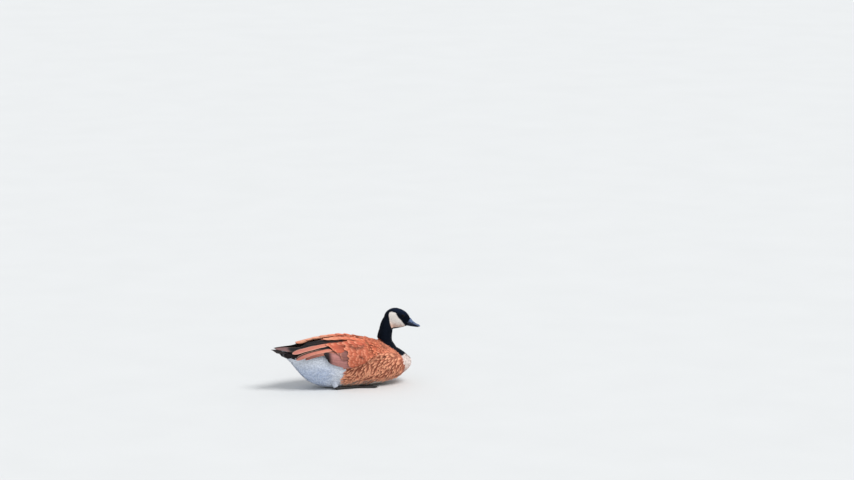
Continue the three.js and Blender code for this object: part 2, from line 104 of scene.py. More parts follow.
class Shade:
    """A socket of a node that sums can be written with."""

    def __init__(self, paint, socket):
        self.paint = paint
        self.socket = socket

    def maths(self, operation, *others):
        return self.paint.node("ShaderNodeMath", {"operation": operation}, dict(enumerate(others)))

    def __add__(self, other):
        return self.maths("ADD", self, other)

    def __sub__(self, other):
        return self.maths("SUBTRACT", self, other)

    def __rsub__(self, other):
        return self.maths("SUBTRACT", other, self)

    def __mul__(self, other):
        return self.maths("MULTIPLY", self, other)

    def __abs__(self):
        return self.maths("ABSOLUTE", self)

    __radd__ = __add__
    __rmul__ = __mul__

    def larger(self, other):
        return self.maths("MAXIMUM", self, other)

    def wave(self):
        return self.maths("SINE", self)

    def step(self, low, high):
        inputs = {"Value": self, "From Min": low, "From Max": high}
        return self.paint.node("ShaderNodeMapRange", {"interpolation_type": "SMOOTHSTEP"}, inputs)


class Paint:
    """A material under way, on one Principled shader."""

    def __init__(self, name, **constants):
        self.material = bpy.data.materials.new(name)
        self.material.use_nodes = True
        self.tree = self.material.node_tree
        self.shader = self.tree.nodes["Principled BSDF"]
        for socket, value in constants.items():
            self.shader.inputs[socket.replace("_", " ")].default_value = value

    def node(self, kind, settings=None, inputs=None, out=0):
        made = self.tree.nodes.new(kind)
        for key, value in (settings or {}).items():
            setattr(made, key, value)
        for key, value in (inputs or {}).items():
            self.feed(made.inputs[key], value)
        return Shade(self, made.outputs[out])

    def feed(self, socket, value):
        if isinstance(value, Shade):
            self.tree.links.new(value.socket, socket)
        elif isinstance(value, (tuple, list)) and socket.type == "RGBA":
            socket.default_value = (*value[:3], 1)
        else:
            socket.default_value = value

    def put(self, socket, value):
        self.feed(self.shader.inputs[socket], value)

    def mix(self, share, first, second, blend="MIX"):
        settings = {"data_type": "RGBA", "blend_type": blend}
        return self.node("ShaderNodeMix", settings, {0: share, 6: first, 7: second}, out=2)

    def noise(self, scale, detail=3.0, stretch=(1, 1, 1)):
        spot = self.node("ShaderNodeTexCoord", out=3)
        spot = self.node("ShaderNodeVectorMath", {"operation": "MULTIPLY"}, {0: spot, 1: stretch})
        return self.node("ShaderNodeTexNoise", {}, {"Vector": spot, "Scale": scale, "Detail": detail})

    def carried(self, name, out=1):
        """What the mesh carries under a name, as a colour (0), a vector (1) or a number (2)."""
        return self.node("ShaderNodeAttribute", {"attribute_name": name}, out=out)

    def bump(self, height, strength, distance):
        inputs = {"Height": height, "Strength": strength, "Distance": distance}
        self.put("Normal", self.node("ShaderNodeBump", {}, inputs))


def rgb(red, green, blue):
    """A colour as the eye names it, 0 to 255, as the light that it sends back."""
    shares = np.array((red, green, blue)) / 255
    return tuple(np.where(shares > 0.04045, ((shares + 0.055) / 1.055) ** 2.4, shares / 12.92))


def carry(mesh, key, values):
    """Gives each point of a mesh a number, or three, under a name."""
    values = np.asarray(values, np.float32)
    kind, field = ("FLOAT", "value") if values.ndim == 1 else ("FLOAT_VECTOR", "vector")
    mesh.attributes.new(key, kind, "POINT").data.foreach_set(field, values.ravel())


def mesh_piece(name, points, quads, attributes=None, triangles=()):
    """A smooth mesh object from arrays, with what its points carry."""
    mesh = bpy.data.meshes.new(name)
    quads = np.asarray(quads, int).reshape(-1, 4)
    triangles = np.asarray(triangles, int).reshape(-1, 3)
    corners = np.concatenate([quads.ravel(), triangles.ravel()])
    sizes = np.concatenate([np.full(len(quads), 4), np.full(len(triangles), 3)])
    mesh.vertices.add(len(points))
    mesh.vertices.foreach_set("co", np.asarray(points, np.float32).ravel())
    mesh.loops.add(len(corners))
    mesh.loops.foreach_set("vertex_index", corners.astype(np.int32))
    mesh.polygons.add(len(sizes))
    starts = np.concatenate([[0], np.cumsum(sizes)[:-1]])
    mesh.polygons.foreach_set("loop_start", starts.astype(np.int32))
    mesh.update(calc_edges=True)
    mesh.validate()
    mesh.shade_smooth()
    for key, values in (attributes or {}).items():
        carry(mesh, key, values)
    return put_in_scene(name, mesh)


def grid_quads(rows, columns, closed=False, ring=False):
    """The faces of a grid of points, row by row. Each row may be closed, and the rows may form a ring."""
    row, column = np.mgrid[0 : rows - (not ring), 0 : columns - (not closed)]
    here = row * columns + column
    beside = row * columns + (column + 1) % columns
    down = ((row + 1) % rows - row) * columns
    return np.stack([here, here + down, beside + down, beside], -1).reshape(-1, 4)


def make_floor():
    reach = np.linspace(-1, 1, 33)
    spread = np.sign(reach) * np.abs(reach) ** 3 * FLOOR_REACH
    x, y = np.meshgrid(spread, spread, indexing="ij")
    points = np.stack([x, y, np.zeros_like(x)], -1).reshape(-1, 3)
    floor = mesh_piece("floor", points, grid_quads(33, 33)[:, ::-1])
    paint = Paint("pale floor", Roughness=0.9, Specular_IOR_Level=0.2)
    paint.put("Base Color", paint.mix(paint.noise(3.0), rgb(205, 206, 205), rgb(210, 211, 210)))
    floor.data.materials.append(paint.material)
    floor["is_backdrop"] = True


def make_light():
    world = bpy.data.worlds.new("sky")
    world.use_nodes = True
    sky = world.node_tree.nodes["Background"]
    sky.inputs["Color"].default_value = (*rgb(240, 243, 248), 1)
    sky.inputs["Strength"].default_value = 0.8
    bpy.context.scene.world = world
    lamp = bpy.data.lights.new("soft lamp", "SUN")
    lamp.energy = 2.5
    lamp.angle = math.radians(28)
    holder = put_in_scene("soft lamp", lamp)
    holder.rotation_euler = Vector((-0.35, 0.55, -1)).to_track_quat("-Z", "Y").to_euler()
    bpy.context.scene.view_settings.view_transform = "Standard"


make_floor()
make_light()


# Skin: one closed body under the whole coat, from the breast over the neck to the bill and back to
# the tail, with the flesh of the folded wings. It lies as deep as the coat is thick, and carries the
# markings of the coat above it: black neck, pale cheeks and breast, brown sides, white rear.
SKIN_GRAIN = 0.0025
FLESH = ["torso", "vent", "breast", "neck", "head", "cheek_patch"]
FACE = ["bill_upper", "bill_lower", "eye_right", "eye_left"]
JOINED_BY = 0.25  # millimetres that the parts swell, which closes the cuts between them
HEAD_AT = np.array((221.5, 8.0, 208.0))
HEAD_DOWN, HEAD_TURN = math.radians(17), math.radians(-13)
NECK_EDGE = [(400, 82), (280, 75), (250, 65), (216, 62), (193, 84), (158, 108), (130, 136)]
NECK_EDGE += [(100, 180), (100, 300), (400, 300)]
BREAST_EDGE = [(300, 82), (250, 65), (216, 62), (219, 40), (230, 14), (222, -20), (198, -90)]
BREAST_EDGE += [(300, -90)]
VENT_EDGE = [(-30, -90), (-45, -20), (-43, 30), (-38, 48), (-58, 62), (-90, 72), (-143, 92)]
VENT_EDGE += [(-200, 84), (-228, 76), (-262, 77), (-300, 82), (-330, 60), (-330, -90)]
CHEEK_EDGE = [(-39, 12), (-33, 18), (-14, 20), (-7, 12), (0, 5), (17, -5), (35, -18), (41, -24)]
CHEEK_EDGE += [(36, -60), (-8, -60), (-9, -48), (-21, -35), (-31, -14), (-38, 1)]
# Lines on the bird's side where the feathers part; a painted shade darkens the colour along them.
SHADED_FOLDS = [[(-14, 122), (12, 112), (39, 114), (47, 121)], [(64, 134), (76, 116)], [(71, 104), (84, 77)]]
SHADED_FOLDS += [[(112, 68), (134, 59)], [(136, 106), (148, 99)], [(20, 82), (36, 72)]]
FOLD_WIDTH = 5.5
FOLD_SHADE = 0.6
FAR_OFF = 1e9
BLACK, CROWN_SHEEN = rgb(4, 7, 14), rgb(20, 30, 50)
CHEEK, THROAT = rgb(236, 229, 222), rgb(226, 178, 154)
CREAM, LOW_CREAM = rgb(238, 220, 212), rgb(232, 194, 182)
TERRACOTTA, COLLAR = rgb(224, 114, 80), rgb(238, 146, 114)
FLANK, DARK_FLANK = rgb(218, 128, 98), rgb(192, 108, 82)
BELLY, RUMP_AND_SHADE = rgb(214, 204, 194), rgb(30, 21, 23)
SNOW, BLUE_SHADE = rgb(221, 227, 237), rgb(178, 197, 230)


def placed(points):
    """Millimetres about the waterline to metres above the floor."""
    return (np.asarray(points, float) + BODY_AT) * MM


def measured(points):
    return np.asarray(points, float) / MM - BODY_AT


def turned(angle, first, second):
    """A turn from one axis towards another, as a matrix."""
    matrix = np.eye(3)
    matrix[first, first] = matrix[second, second] = math.cos(angle)
    matrix[second, first] = math.sin(angle)
    matrix[first, second] = -math.sin(angle)
    return matrix


HEAD_AXES = turned(HEAD_TURN, 0, 1) @ turned(HEAD_DOWN, 2, 0)


def on_head(points):
    """From the head's own level axes to the bird's."""
    return np.asarray(points, float) @ HEAD_AXES.T + HEAD_AT


def from_head(points):
    return (np.asarray(points, float) - HEAD_AT) @ HEAD_AXES


def smooth(value, low, high):
    share = np.clip((np.asarray(value, float) - low) / (high - low), 0, 1)
    return share * share * (3 - 2 * share)


def off_line(line, x, z):
    """How far places lie from a line of straight stretches."""
    nearest = np.full(x.shape, FAR_OFF)
    for (ax, az), (bx, bz) in zip(line, line[1:]):
        share = ((x - ax) * (bx - ax) + (z - az) * (bz - az)) / ((bx - ax) ** 2 + (bz - az) ** 2)
        share = np.clip(share, 0, 1)
        nearest = np.minimum(nearest, np.hypot(x - ax - share * (bx - ax), z - az - share * (bz - az)))
    return nearest


def within(outline, spots):
    """How far places lie inside an outline of the bird's side, and below zero outside it."""
    x, z = spots[:, 0], spots[:, 2]
    ring = outline + outline[:1]
    inside = np.zeros(x.shape, bool)
    for (ax, az), (bx, bz) in zip(ring, ring[1:]):
        crosses = (az > z) != (bz > z)
        inside ^= crosses & (x < (bx - ax) * (z - az) / ((bz - az) or 1e-9) + ax)
    nearest = off_line(ring, x, z)
    return np.where(inside, nearest, -nearest)


def markings(spots, soft=1.5, under=0.0):
    """The coat's colour at places on the bird, in millimetres about the waterline, with painted sheen on the
    crown and painted shade low on the rear and under the wing. Under the tips of the brown feathers the
    white of the rear reaches a little further."""
    x, y, z = spots.T
    head = from_head(spots)
    vent = within(VENT_EDGE, spots) + under
    breast = within(BREAST_EDGE, spots)
    sock = within(NECK_EDGE, spots)
    cheek = smooth(within(CHEEK_EDGE, head), -0.5 * soft, 0.5 * soft) * smooth(z, 168, 172)
    # How low the black reaches: set low so that it also stands for the shade under the wing.
    rump = np.interp(x, [-262, -228, -200, -143, -90], [74, 72, 80, 88, 90])
    tone = np.tile(FLANK, (len(spots), 1))
    for colour, share in (
        (DARK_FLANK, 0.7 * smooth(z, 60, 10) * smooth(z, -45, -5) * smooth(x, 205, 120)),
        (TERRACOTTA, smooth(z, 55, 105) * smooth(x, 215, 120)),
        (COLLAR, smooth(x, 95, 165) * smooth(z, 20, 70)),
        (BELLY, smooth(z, -22, -44)),
        # Black of the rump, carried low on the sides, where it also paints the shade in the gap under the
        # folded wing.
        (RUMP_AND_SHADE, smooth(x, -92, -106) * smooth(z, rump - 2, rump + 4)),
        (SNOW, smooth(x, -232, -246) * smooth(z, 94, 99) * smooth(np.abs(y), 18, 14)),
        (SNOW, smooth(vent, -soft, soft)),
        (BLUE_SHADE, 0.75 * smooth(vent, 0, 12) * smooth(z, 70, 10) * smooth(x, -60, -120)),
        (CREAM, smooth(breast, -4 * soft, 3 * soft)),
        (LOW_CREAM, smooth(breast, 0, 6) * smooth(z, 30, -10)),
        (BLACK, smooth(sock, -soft, soft)),
        # A painted sheen of the sky on the top of the black crown.
        (CROWN_SHEEN, smooth(sock, 0, 4) * smooth(head[:, 2], 14, 32) * smooth(z, 180, 200)),
        (CHEEK, cheek),
        (THROAT, cheek * smooth(head[:, 2], -10, -44)),
    ):
        tone = tone + (np.asarray(colour) - tone) * share[:, None]
    return tone


def painted_fold_light(spots):
    """How much light reaches places on the bird, past the soft hollows where its feathers part. The shade
    is painted into the feathers' colour.
    """
    nearest = np.min([off_line(line, spots[..., 0], spots[..., 2]) for line in SHADED_FOLDS], axis=0)
    on_side = spots[..., 1] ** 2 > 40**2
    return 1 - FOLD_SHADE * (np.exp(-((nearest / FOLD_WIDTH) ** 2)) * on_side)


def coat_depth(spots):
    """How thick the coat is at places on the bird, in millimetres."""
    x, z = spots[:, 0], spots[:, 2]
    rising = np.interp(z, [90, 130, 165, 182], [3.2, 1.7, 1.6, 1.0])
    return 3.4 + (rising - 3.4) * smooth(x, 95, 150)


def spline(points, places, power=0.0):
    """Places on a smooth run through the given points, which are numbered from 0. A power of 0.5
    keeps the run even where the points are not."""
    points = np.asarray(points, float)
    points = np.vstack([2 * points[0] - points[1], points, 2 * points[-1] - points[-2]])
    first = np.clip(places.astype(int), 0, len(points) - 4)
    share = (places - first)[:, None]
    a, b, c, d = (points[first + k] for k in range(4))

    def gap(p, q):
        return np.maximum(np.linalg.norm(q - p, axis=1), 1e-6)[:, None] ** power

    ab, bc, cd = gap(a, b), gap(b, c), gap(c, d)
    start = ((b - a) / ab - (c - a) / (ab + bc) + (c - b) / bc) * bc
    end = ((c - b) / bc - (d - b) / (bc + cd) + (d - c) / cd) * bc
    cubic = (2 * b - 2 * c + start + end) * share**3
    return cubic + (3 * c - 3 * b - 2 * start - end) * share**2 + start * share + b


def curve_through(points, steps=200):
    return spline(points, np.linspace(0, len(points) - 1, steps), 0.5)


def along(lines, u):
    """Where each of several lines is at the share u of its length."""
    place = np.clip(u, 0, 1) * (lines.shape[1] - 1)
    first = np.minimum(place.astype(int), lines.shape[1] - 2)
    share = (place - first)[..., None]
    return lines[:, first] * (1 - share) + lines[:, first + 1] * share


class Sheet:
    """A curved face through three guide lines, in millimetres. u runs from front to rear, v from the
    first guide to the last, and what lies before the first one bends over the given drop."""

    def __init__(self, *guides, drop=(0, 0, 0)):
        self.guides = np.stack([curve_through(guide) for guide in guides])
        self.drop = np.array(drop)

    def at(self, u, v):
        u, v = np.broadcast_arrays(np.asarray(u, float), np.asarray(v, float))
        lines = along(self.guides, u)
        v = v[..., None]
        fall = 0.0
        if self.drop.any():
            fall = np.minimum(v, 0) * -self.drop
            v = np.maximum(v, 0)
        face = lines[0] * (1 - v) * (1 - 2 * v) + lines[1] * 4 * v * (1 - v) + lines[2] * v * (2 * v - 1)
        return face + fall

    def normal(self, u, v):
        u, v = np.asarray(u, float), np.asarray(v, float)
        ahead = self.at(np.minimum(u + 0.01, 1), v) - self.at(np.maximum(u - 0.01, 0), v)
        out = np.cross(ahead, self.at(u, v + 0.01) - self.at(u, v - 0.01))
        return out / np.linalg.norm(out, axis=-1, keepdims=True)

    def raised(self, u, v, height):
        return self.at(u, v) + self.normal(u, v) * np.asarray(height, float)[..., None]

    def span(self, u, v):
        """Millimetres for a unit of v."""
        return np.linalg.norm(self.at(u, v + 0.05) - self.at(u, v - 0.05), axis=-1) / 0.1


WING = Sheet(
    [(132, -35, 127), (80, -33, 143), (0, -29, 153), (-80, -25, 150), (-150, -20, 141), (-236, -14, 126)],
    [(132, -90, 92), (80, -96, 96), (0, -99, 105), (-80, -92, 108), (-150, -79, 110), (-256, -46, 96)],
    [(116, -101, 62), (65, -104, 48), (-10, -105, 34), (-80, -101, 55), (-143, -88, 84), (-226, -63, 69)],
    drop=(0, 75, -85),
)
RIGHT, LEFT = np.array((1, 1, 1)), np.array((1, -1, 1))
SLAB_EDGE, SLAB_RISE, SLAB_BACK = -9, 9.8, -17.0  # how high the slab under a wing's feathers lies


def slab_quads(rows, columns, step=1):
    """The faces of a slab: one grid of points, a second behind it, and the rim between the two."""
    face = grid_quads(rows, columns)[:, ::step]
    count = rows * columns
    number = np.arange(count).reshape(rows, columns)
    rim = np.concatenate([number[:, 0], number[-1, 1:], number[-2::-1, -1], number[0, -2:0:-1]])
    beside = np.roll(rim, -1)
    sides = np.stack([rim, beside, beside + count, rim + count], -1)
    return np.concatenate([face, face[:, ::-1] + count, sides])


def wing_flesh(side):
    """The closed slab under a folded wing's feathers."""
    rows, columns = 24, 15
    u, v = np.meshgrid(np.linspace(0, 0.62, rows), np.linspace(0.03, 0.97, columns), indexing="ij")
    edge = np.minimum(np.minimum(v - 0.03, 0.97 - v) / 0.12, u / 0.17)
    heights = SLAB_EDGE + SLAB_RISE * smooth(edge, 0, 1), np.full(u.shape, SLAB_BACK)
    points = np.concatenate([WING.raised(u, v, height).reshape(-1, 3) for height in heights])
    return placed(points * side), slab_quads(rows, columns)


def numbers_of(rows, key, width=1, kind=np.float32):
    """What a mesh says of each of its points, loops or faces."""
    found = np.empty(len(rows) * width, kind)
    rows.foreach_get(key, found)
    return found.reshape(-1, width) if width > 1 else found


def make_skin():
    whole = bmesh.new()

    def take(part, swell):
        bmesh.ops.recalc_face_normals(part, faces=part.faces)
        part.normal_update()
        for vert in part.verts:
            vert.co += vert.normal * swell * MM
        joined = bpy.data.meshes.new("part")
        part.to_mesh(joined)
        whole.from_mesh(joined)
        part.free()

    for node in FLESH + FACE:
        part = bmesh.new()
        part.from_mesh(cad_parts[node].data)
        bmesh.ops.remove_doubles(part, verts=part.verts, dist=1e-6)
        take(part, JOINED_BY)
    for side in (RIGHT, LEFT):
        points, quads = wing_flesh(side)
        slab = bmesh.new()
        verts = [slab.verts.new(point) for point in points]
        for quad in quads:
            slab.faces.new([verts[k] for k in quad])
        take(slab, 0.0)
    rough = bpy.data.meshes.new("rough skin")
    whole.to_mesh(rough)
    whole.free()
    body = put_in_scene("rough_skin", rough)
    remesh = body.modifiers.new("remesh", "REMESH")
    remesh.mode = "VOXEL"
    remesh.voxel_size = SKIN_GRAIN
    even = body.modifiers.new("even", "SMOOTH")
    even.factor = 0.5
    even.iterations = 9
    made = bpy.data.meshes.new_from_object(body.evaluated_get(bpy.context.evaluated_depsgraph_get()))
    bpy.data.objects.remove(body)
    points = numbers_of(made.vertices, "co", 3)
    depth = coat_depth(measured(points)) * MM
    points = points - numbers_of(made.vertex_normals, "vector", 3) * depth[:, None]
    made.vertices.foreach_set("co", points.astype(np.float32).ravel())
    made.update()
    made.name = "skin"
    made.shade_smooth()
    return put_in_scene("skin", made)


def skin_paint():
    paint = Paint("shaded down under the feathers", Roughness=0.95, Specular_IOR_Level=0.1)
    fluff = paint.noise(900.0, 4.0)
    # The coat's tone pulled towards black: partly the grey of the down, partly painted shade in the gaps
    # between feathers.
    paint.put("Base Color", paint.mix(fluff.step(0.3, 0.7) * 0.3 + 0.2, paint.carried("tone", 0), (0, 0, 0)))
    paint.bump(fluff, 0.5, 0.001)
    return paint.material


def finish(piece, material, slot, *nodes):
    """Gives a piece its material, what it rides on and what it replaces. The slot is not used."""
    piece.data.materials.append(material)
    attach(piece, "root")
    if nodes:
        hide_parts(*nodes)
    return piece


skin = make_skin()
skin_spots = numbers_of(skin.data.vertices, "co", 3).astype(float)
carry(skin.data, "tone", markings(measured(skin_spots), under=6.0))
finish(skin, skin_paint(), "flank", *FLESH)

# Coat: small feathers over the whole skin, each a thin curved vane with its own shaft, rooted in the
# skin and lying along the body. They are smallest on the face and longest on the flanks.
skin_faces = numbers_of(skin.data.loops, "vertex_index", kind=np.int32).reshape(-1, 4).astype(int)
skin_tree = BVHTree.FromPolygons(skin_spots.tolist(), skin_faces.tolist(), epsilon=0.0)
face_normals = numbers_of(skin.data.vertex_normals, "vector", 3).astype(float)[skin_faces].mean(1)
face_normals /= np.linalg.norm(face_normals, axis=1, keepdims=True)
face_areas = numbers_of(skin.data.polygons, "area").astype(float)
FLOOR_ROOM = 0.0003
EYE_SPOT = np.array((18.0, 16.6, 15.0))
SHOWN = 0.72  # how far along a feather the middle of its uncovered part lies
CLOSEST = 0.62  # how near two roots may lie, as the square of a share of the feather's room
PATCH = 0.003  # how much of the bake map a feather has
LONG_FEATHER = 0.02  # from here on a feather's foot is hidden and needs no colour of its own
VANE_ROWS = {
    3: ([0, 0.45, 0.82, 1.0], [0.5, 0.95, 0.88, 0.3]),
    4: ([0, 0.35, 0.68, 0.9, 1.0], [0.45, 0.88, 1.0, 0.74, 0.22]),
    6: ([0, 0.25, 0.5, 0.72, 0.87, 0.95, 1.0], [0.4, 0.72, 0.92, 1.0, 0.92, 0.68, 0.34]),
}


def unit(vectors):
    return vectors / np.maximum(np.linalg.norm(vectors, axis=-1, keepdims=True), 1e-9)


def flat_to(normals, vectors):
    """Vectors turned into the surface whose normals are given."""
    return unit(vectors - normals * np.sum(vectors * normals, axis=-1, keepdims=True))


def on_skin(points):
    found = [skin_tree.find_nearest(point) for point in points.tolist()]
    return np.array([hit[0] for hit in found]), face_normals[[hit[2] for hit in found]]


def lie(spots, normals):
    """The way that the feathers point at places on the bird: back, and down the neck."""
    x, y, z = spots.T
    low = smooth(z, 95, 40) * smooth(x, -60, 60) * smooth(z, -50, -20)
    down = 0.12 + 2.2 * np.maximum(normals[:, 0], 0) ** 2 + 1.05 * (1 - np.abs(normals[:, 2])) * low
    trunk = np.stack([-np.ones_like(x), np.zeros_like(x), -down], -1)
    trunk[:, 2] += smooth(x, -60, -150) * (0.12 + 0.35 * smooth(normals[:, 2], 0.0, -0.8))
    slope = np.interp(z, [60, 100, 133, 180, 214], [0.22, 0.1, -0.12, -0.36, -0.5])
    neck = unit(np.stack([slope, np.interp(z, [100, 214], [0.0, -0.12]), -np.ones_like(z)], -1))
    on_neck = smooth(within(NECK_EDGE, spots), -2, 10)[:, None]
    way = unit(trunk) * (1 - on_neck) + neck * on_neck
    local = from_head(spots)
    back = np.stack([-np.ones_like(x), np.zeros_like(x), -0.25 - 0.8 * smooth(local[:, 2], 8, -30)], -1)
    on_face = (smooth(z, 168, 190) * smooth(local[:, 0], -34, -8))[:, None]
    way = unit(way) * (1 - on_face) + unit(back) @ HEAD_AXES.T * on_face
    return flat_to(normals, way)


def drift(spots, grain, seed):
    """A smooth random height, mostly between -1 and 1, that changes over the given millimetres."""
    rng = np.random.default_rng(seed)
    waves = unit(rng.normal(0, 1, (9, 3))) * rng.uniform(0.6, 1.4, (9, 1)) * 2 * math.pi / grain
    return np.sin(measured(spots) @ waves.T + rng.uniform(0, 2 * math.pi, 9)).sum(1) / 3


def thinned(spots, ways, sides, across, along_it):
    """The numbers of the roots that keep their room, in metres across the feather and along it."""
    keys = np.floor(spots / max(across, along_it)).astype(int)
    near = [(a, b, c) for a in (-1, 0, 1) for b in (-1, 0, 1) for c in (-1, 0, 1)]
    room, kept = {}, []

    def crowded(key, spot, way, side):
        for a, b, c in near:
            for px, py, pz in room.get((key[0] + a, key[1] + b, key[2] + c), ()):
                dx, dy, dz = px - spot[0], py - spot[1], pz - spot[2]
                lengthwise = (dx * way[0] + dy * way[1] + dz * way[2]) / along_it
                sidewise = (dx * side[0] + dy * side[1] + dz * side[2]) / across
                if lengthwise * lengthwise + sidewise * sidewise < CLOSEST:
                    return True
        return False

    for number, row in enumerate(zip(*(array.tolist() for array in (keys, spots, ways, sides)))):
        if not crowded(*row):
            room.setdefault(tuple(row[0]), []).append(row[1])
            kept.append(number)
    return kept


def scatter(rng, wanted, across, along_it, length, tries=9):
    """Feather roots spread about evenly over the skin wherever what shows of the feather is wanted,
    with room for each one's width and uncovered length in millimetres."""
    middles = skin_spots[skin_faces].mean(1)
    shown = measured(middles + lie(measured(middles), face_normals) * length * SHOWN * MM)
    faces = np.flatnonzero(wanted(shown, measured(middles)))
    areas = face_areas[faces]
    count = int(tries * areas.sum() / (across * along_it * MM * MM))
    picked = faces[rng.choice(len(faces), count, p=areas / areas.sum())]
    corners = skin_spots[skin_faces[picked]]
    s, t = rng.random((2, count, 1))
    spots = (corners[:, 0] * (1 - s) + corners[:, 1] * s) * (1 - t)
    spots += (corners[:, 3] * (1 - s) + corners[:, 2] * s) * t
    normals = face_normals[picked]
    ways = lie(measured(spots), normals)
    fit = wanted(measured(spots + ways * length * SHOWN * MM), measured(spots))
    spots, normals, ways = spots[fit], normals[fit], ways[fit]
    kept = thinned(spots, ways, np.cross(normals, ways), across * MM, along_it * MM)
    return spots[kept], normals[kept]


def unwrapped(spots):
    """Each place's spot on the skin's own unwrap: along the body or neck, and round it."""
    x, y, z = spots.T
    local = from_head(spots)
    waist = np.interp(x, [-284, -172, 0, 125, 279], [95, 74, 52, 42, 28])
    middle = np.interp(z, [30, 72, 106, 133, 157, 180, 200], [186, 175, 165, 165.5, 171.5, 178, 186])
    trunk = np.stack([x, np.arctan2(y, z - waist)])
    neck = np.stack([z, np.arctan2(y - 0.07 * np.maximum(z - 100, 0), x - middle)])
    head = np.stack([local[:, 0], np.arctan2(local[:, 1], local[:, 2] + 8)])
    return np.where(z > 172, head, np.where(within(NECK_EDGE, spots) > 0, neck, trunk))


def bake_map(piece, spots):
    """The piece's bake map, from the place on it of each of the piece's points."""
    points = numbers_of(piece.data.loops, "vertex_index", kind=np.int32)
    layer = piece.data.uv_layers.new(name="OFBake")
    layer.data.foreach_set("uv", spots[points].astype(np.float32).ravel())


def coat_piece(name, rng, roots, normals, size, rows, columns, spread, unruly):
    """One joined mesh of overlapping feathers. size gives each one's length, half width and the rise
    of its tip in millimetres."""
    count = len(roots)
    shares, outline = VANE_ROWS[rows]
    length, half, rise = (np.broadcast_to(s, count) * MM for s in size)
    length = length * rng.uniform(0.82, 1.15, count)
    half = half * rng.uniform(0.86, 1.12, count)
    rise = rise * rng.uniform(0.7, 1.15, count)
    ways = lie(measured(roots), normals)
    turn = rng.normal(0, 0.1, count) + 0.3 * unruly * drift(roots, 42, 7)
    ways = flat_to(normals, ways + np.cross(normals, ways) * turn[:, None])
    rise = rise * (1 + 0.5 * unruly * drift(roots, 24, 8))
    roll = rng.normal(0, 0.16, count)
    bow = rng.normal(0, 0.06, count)
    across = np.linspace(-1, 1, columns)
    points = np.empty((count, len(shares), columns, 3))
    spot, normal, way, done = roots, normals, ways, 0.0
    for row, (share, wide) in enumerate(zip(shares, outline)):
        if row:
            spot, normal = on_skin(spot + way * (length * (share - done))[:, None])
            way = flat_to(normal, way)
            done = share
        side = np.cross(normal, way)
        height = rise * (0.12 + 0.88 * share**1.2)
        fray = 0.05 + (0.09 * share**8 if columns > 4 else 0)
        for column, t in enumerate(across):
            reach = t * half * wide
            ragged = 1 + (0.1 * rng.standard_normal(count) if abs(t) > 0.5 and row else 0)
            lift = height - 0.22 * half * t * t * wide + roll * reach
            ruffle = fray * half * rng.standard_normal(count) * (row > 0)
            back = -0.3 * half * t * t * (share > 0.8) + ruffle
            sideways = side * (reach * ragged + bow * length * share**2)[:, None]
            lifted = normal * np.maximum(lift, 0.05 * MM)[:, None]
            points[:, row, column] = spot + sideways + lifted + way * back[:, None]
    points[..., 2] = np.maximum(points[..., 2], FLOOR_ROOM)
    each = len(shares) * columns
    starts = each * np.arange(count)[:, None, None]
    shown = measured(roots + ways * (length * SHOWN)[:, None])
    # Each feather's random tone, times the painted shade of the hollows.
    shade = 1 + spread * rng.standard_normal(count) + 0.2 * unruly * drift(roots, 17, 9)
    shade = (shade * painted_fold_light(shown))[:, None]
    foot, free = markings(measured(roots), 0.01) * shade, markings(shown, 0.01) * shade
    bare = (0.3, 0.62) if length.max() < LONG_FEATHER else (-1.0, -0.5)
    past = smooth(np.repeat(shares, columns), *bare)[None, :, None]
    tones = foot[:, None] * (1 - past) + free[:, None] * past
    t, s = (np.broadcast_to(g.ravel(), (count, each)) for g in np.meshgrid(across, shares))
    vane = np.stack([t, s, np.broadcast_to(rng.random((count, 1)), t.shape)], -1).reshape(-1, 3)
    carried = {"tone": np.clip(tones, 0, 1).reshape(-1, 3), "vane": vane}
    piece = mesh_piece(name, points.reshape(-1, 3), grid_quads(len(shares), columns)[None] + starts, carried)
    places = unwrapped(measured(roots)).T
    places = (places - places.min(0)) / (np.ptp(places, axis=0) + 1e-9) * 0.98 + 0.01 - PATCH / 2
    bake_map(piece, np.repeat(places, each, axis=0) + PATCH * (vane[:, :2] + (1, 0)) * (0.5, 1))
    return piece


def vane_parts(paint):
    """A feather's own colour, its places across and along the vane, and a number by luck."""
    tone = paint.carried("tone")
    split = paint.tree.nodes.new("ShaderNodeSeparateXYZ")
    paint.feed(split.inputs[0], paint.carried("vane"))
    return tone, *(Shade(paint, split.outputs[k]) for k in range(3))


def plumage(name, fringe, fringe_share, centre, depth, barbs, roughness, gloss, start=0.66, tint=(1, 1, 1)):
    """A feather's finish: darker middle, paler worn fringe, painted shade over its covered foot, fine
    slanting barbs and a shaft.
    """
    tint = (*tint, 1)
    sheen = {"Sheen_Weight": gloss / 2, "Sheen_Roughness": 0.4, "Sheen_Tint": tint, "Specular_Tint": tint}
    paint = Paint(name, Roughness=roughness, Specular_IOR_Level=gloss, **sheen)
    tone, t, s, luck = vane_parts(paint)
    rim = (abs(t) * (s * 0.55 + 0.45)).larger(s)
    edge = (rim + (paint.noise(700.0, 2.0) * 0.12 - 0.06)).step(start, 0.98)
    middle = paint.mix(1.0, tone, (centre, centre, centre), "MULTIPLY")
    colour = paint.mix(edge * fringe_share, middle, fringe)
    # Painted shade over the foot of the feather, where the feathers above cover it.
    shaded = paint.mix(1.0, colour, (0.25, 0.2, 0.18), "MULTIPLY")
    colour = paint.mix((1 - s.step(0.45, 0.86)) * depth, colour, shaded)
    barb = ((s * barbs + abs(t) * barbs * 0.4 + luck * 7.0) * 6.283).wave()
    colour = paint.mix(barb * 0.05 + 0.07, colour, (0.0, 0.0, 0.0))
    shaft = 1 - abs(t).step(0.03, 0.16)
    paint.put("Base Color", paint.mix(shaft * 0.22, colour, (0.02, 0.014, 0.012)))
    paint.bump(barb * 0.5 + shaft, 0.35, 0.0004)
    return paint.material


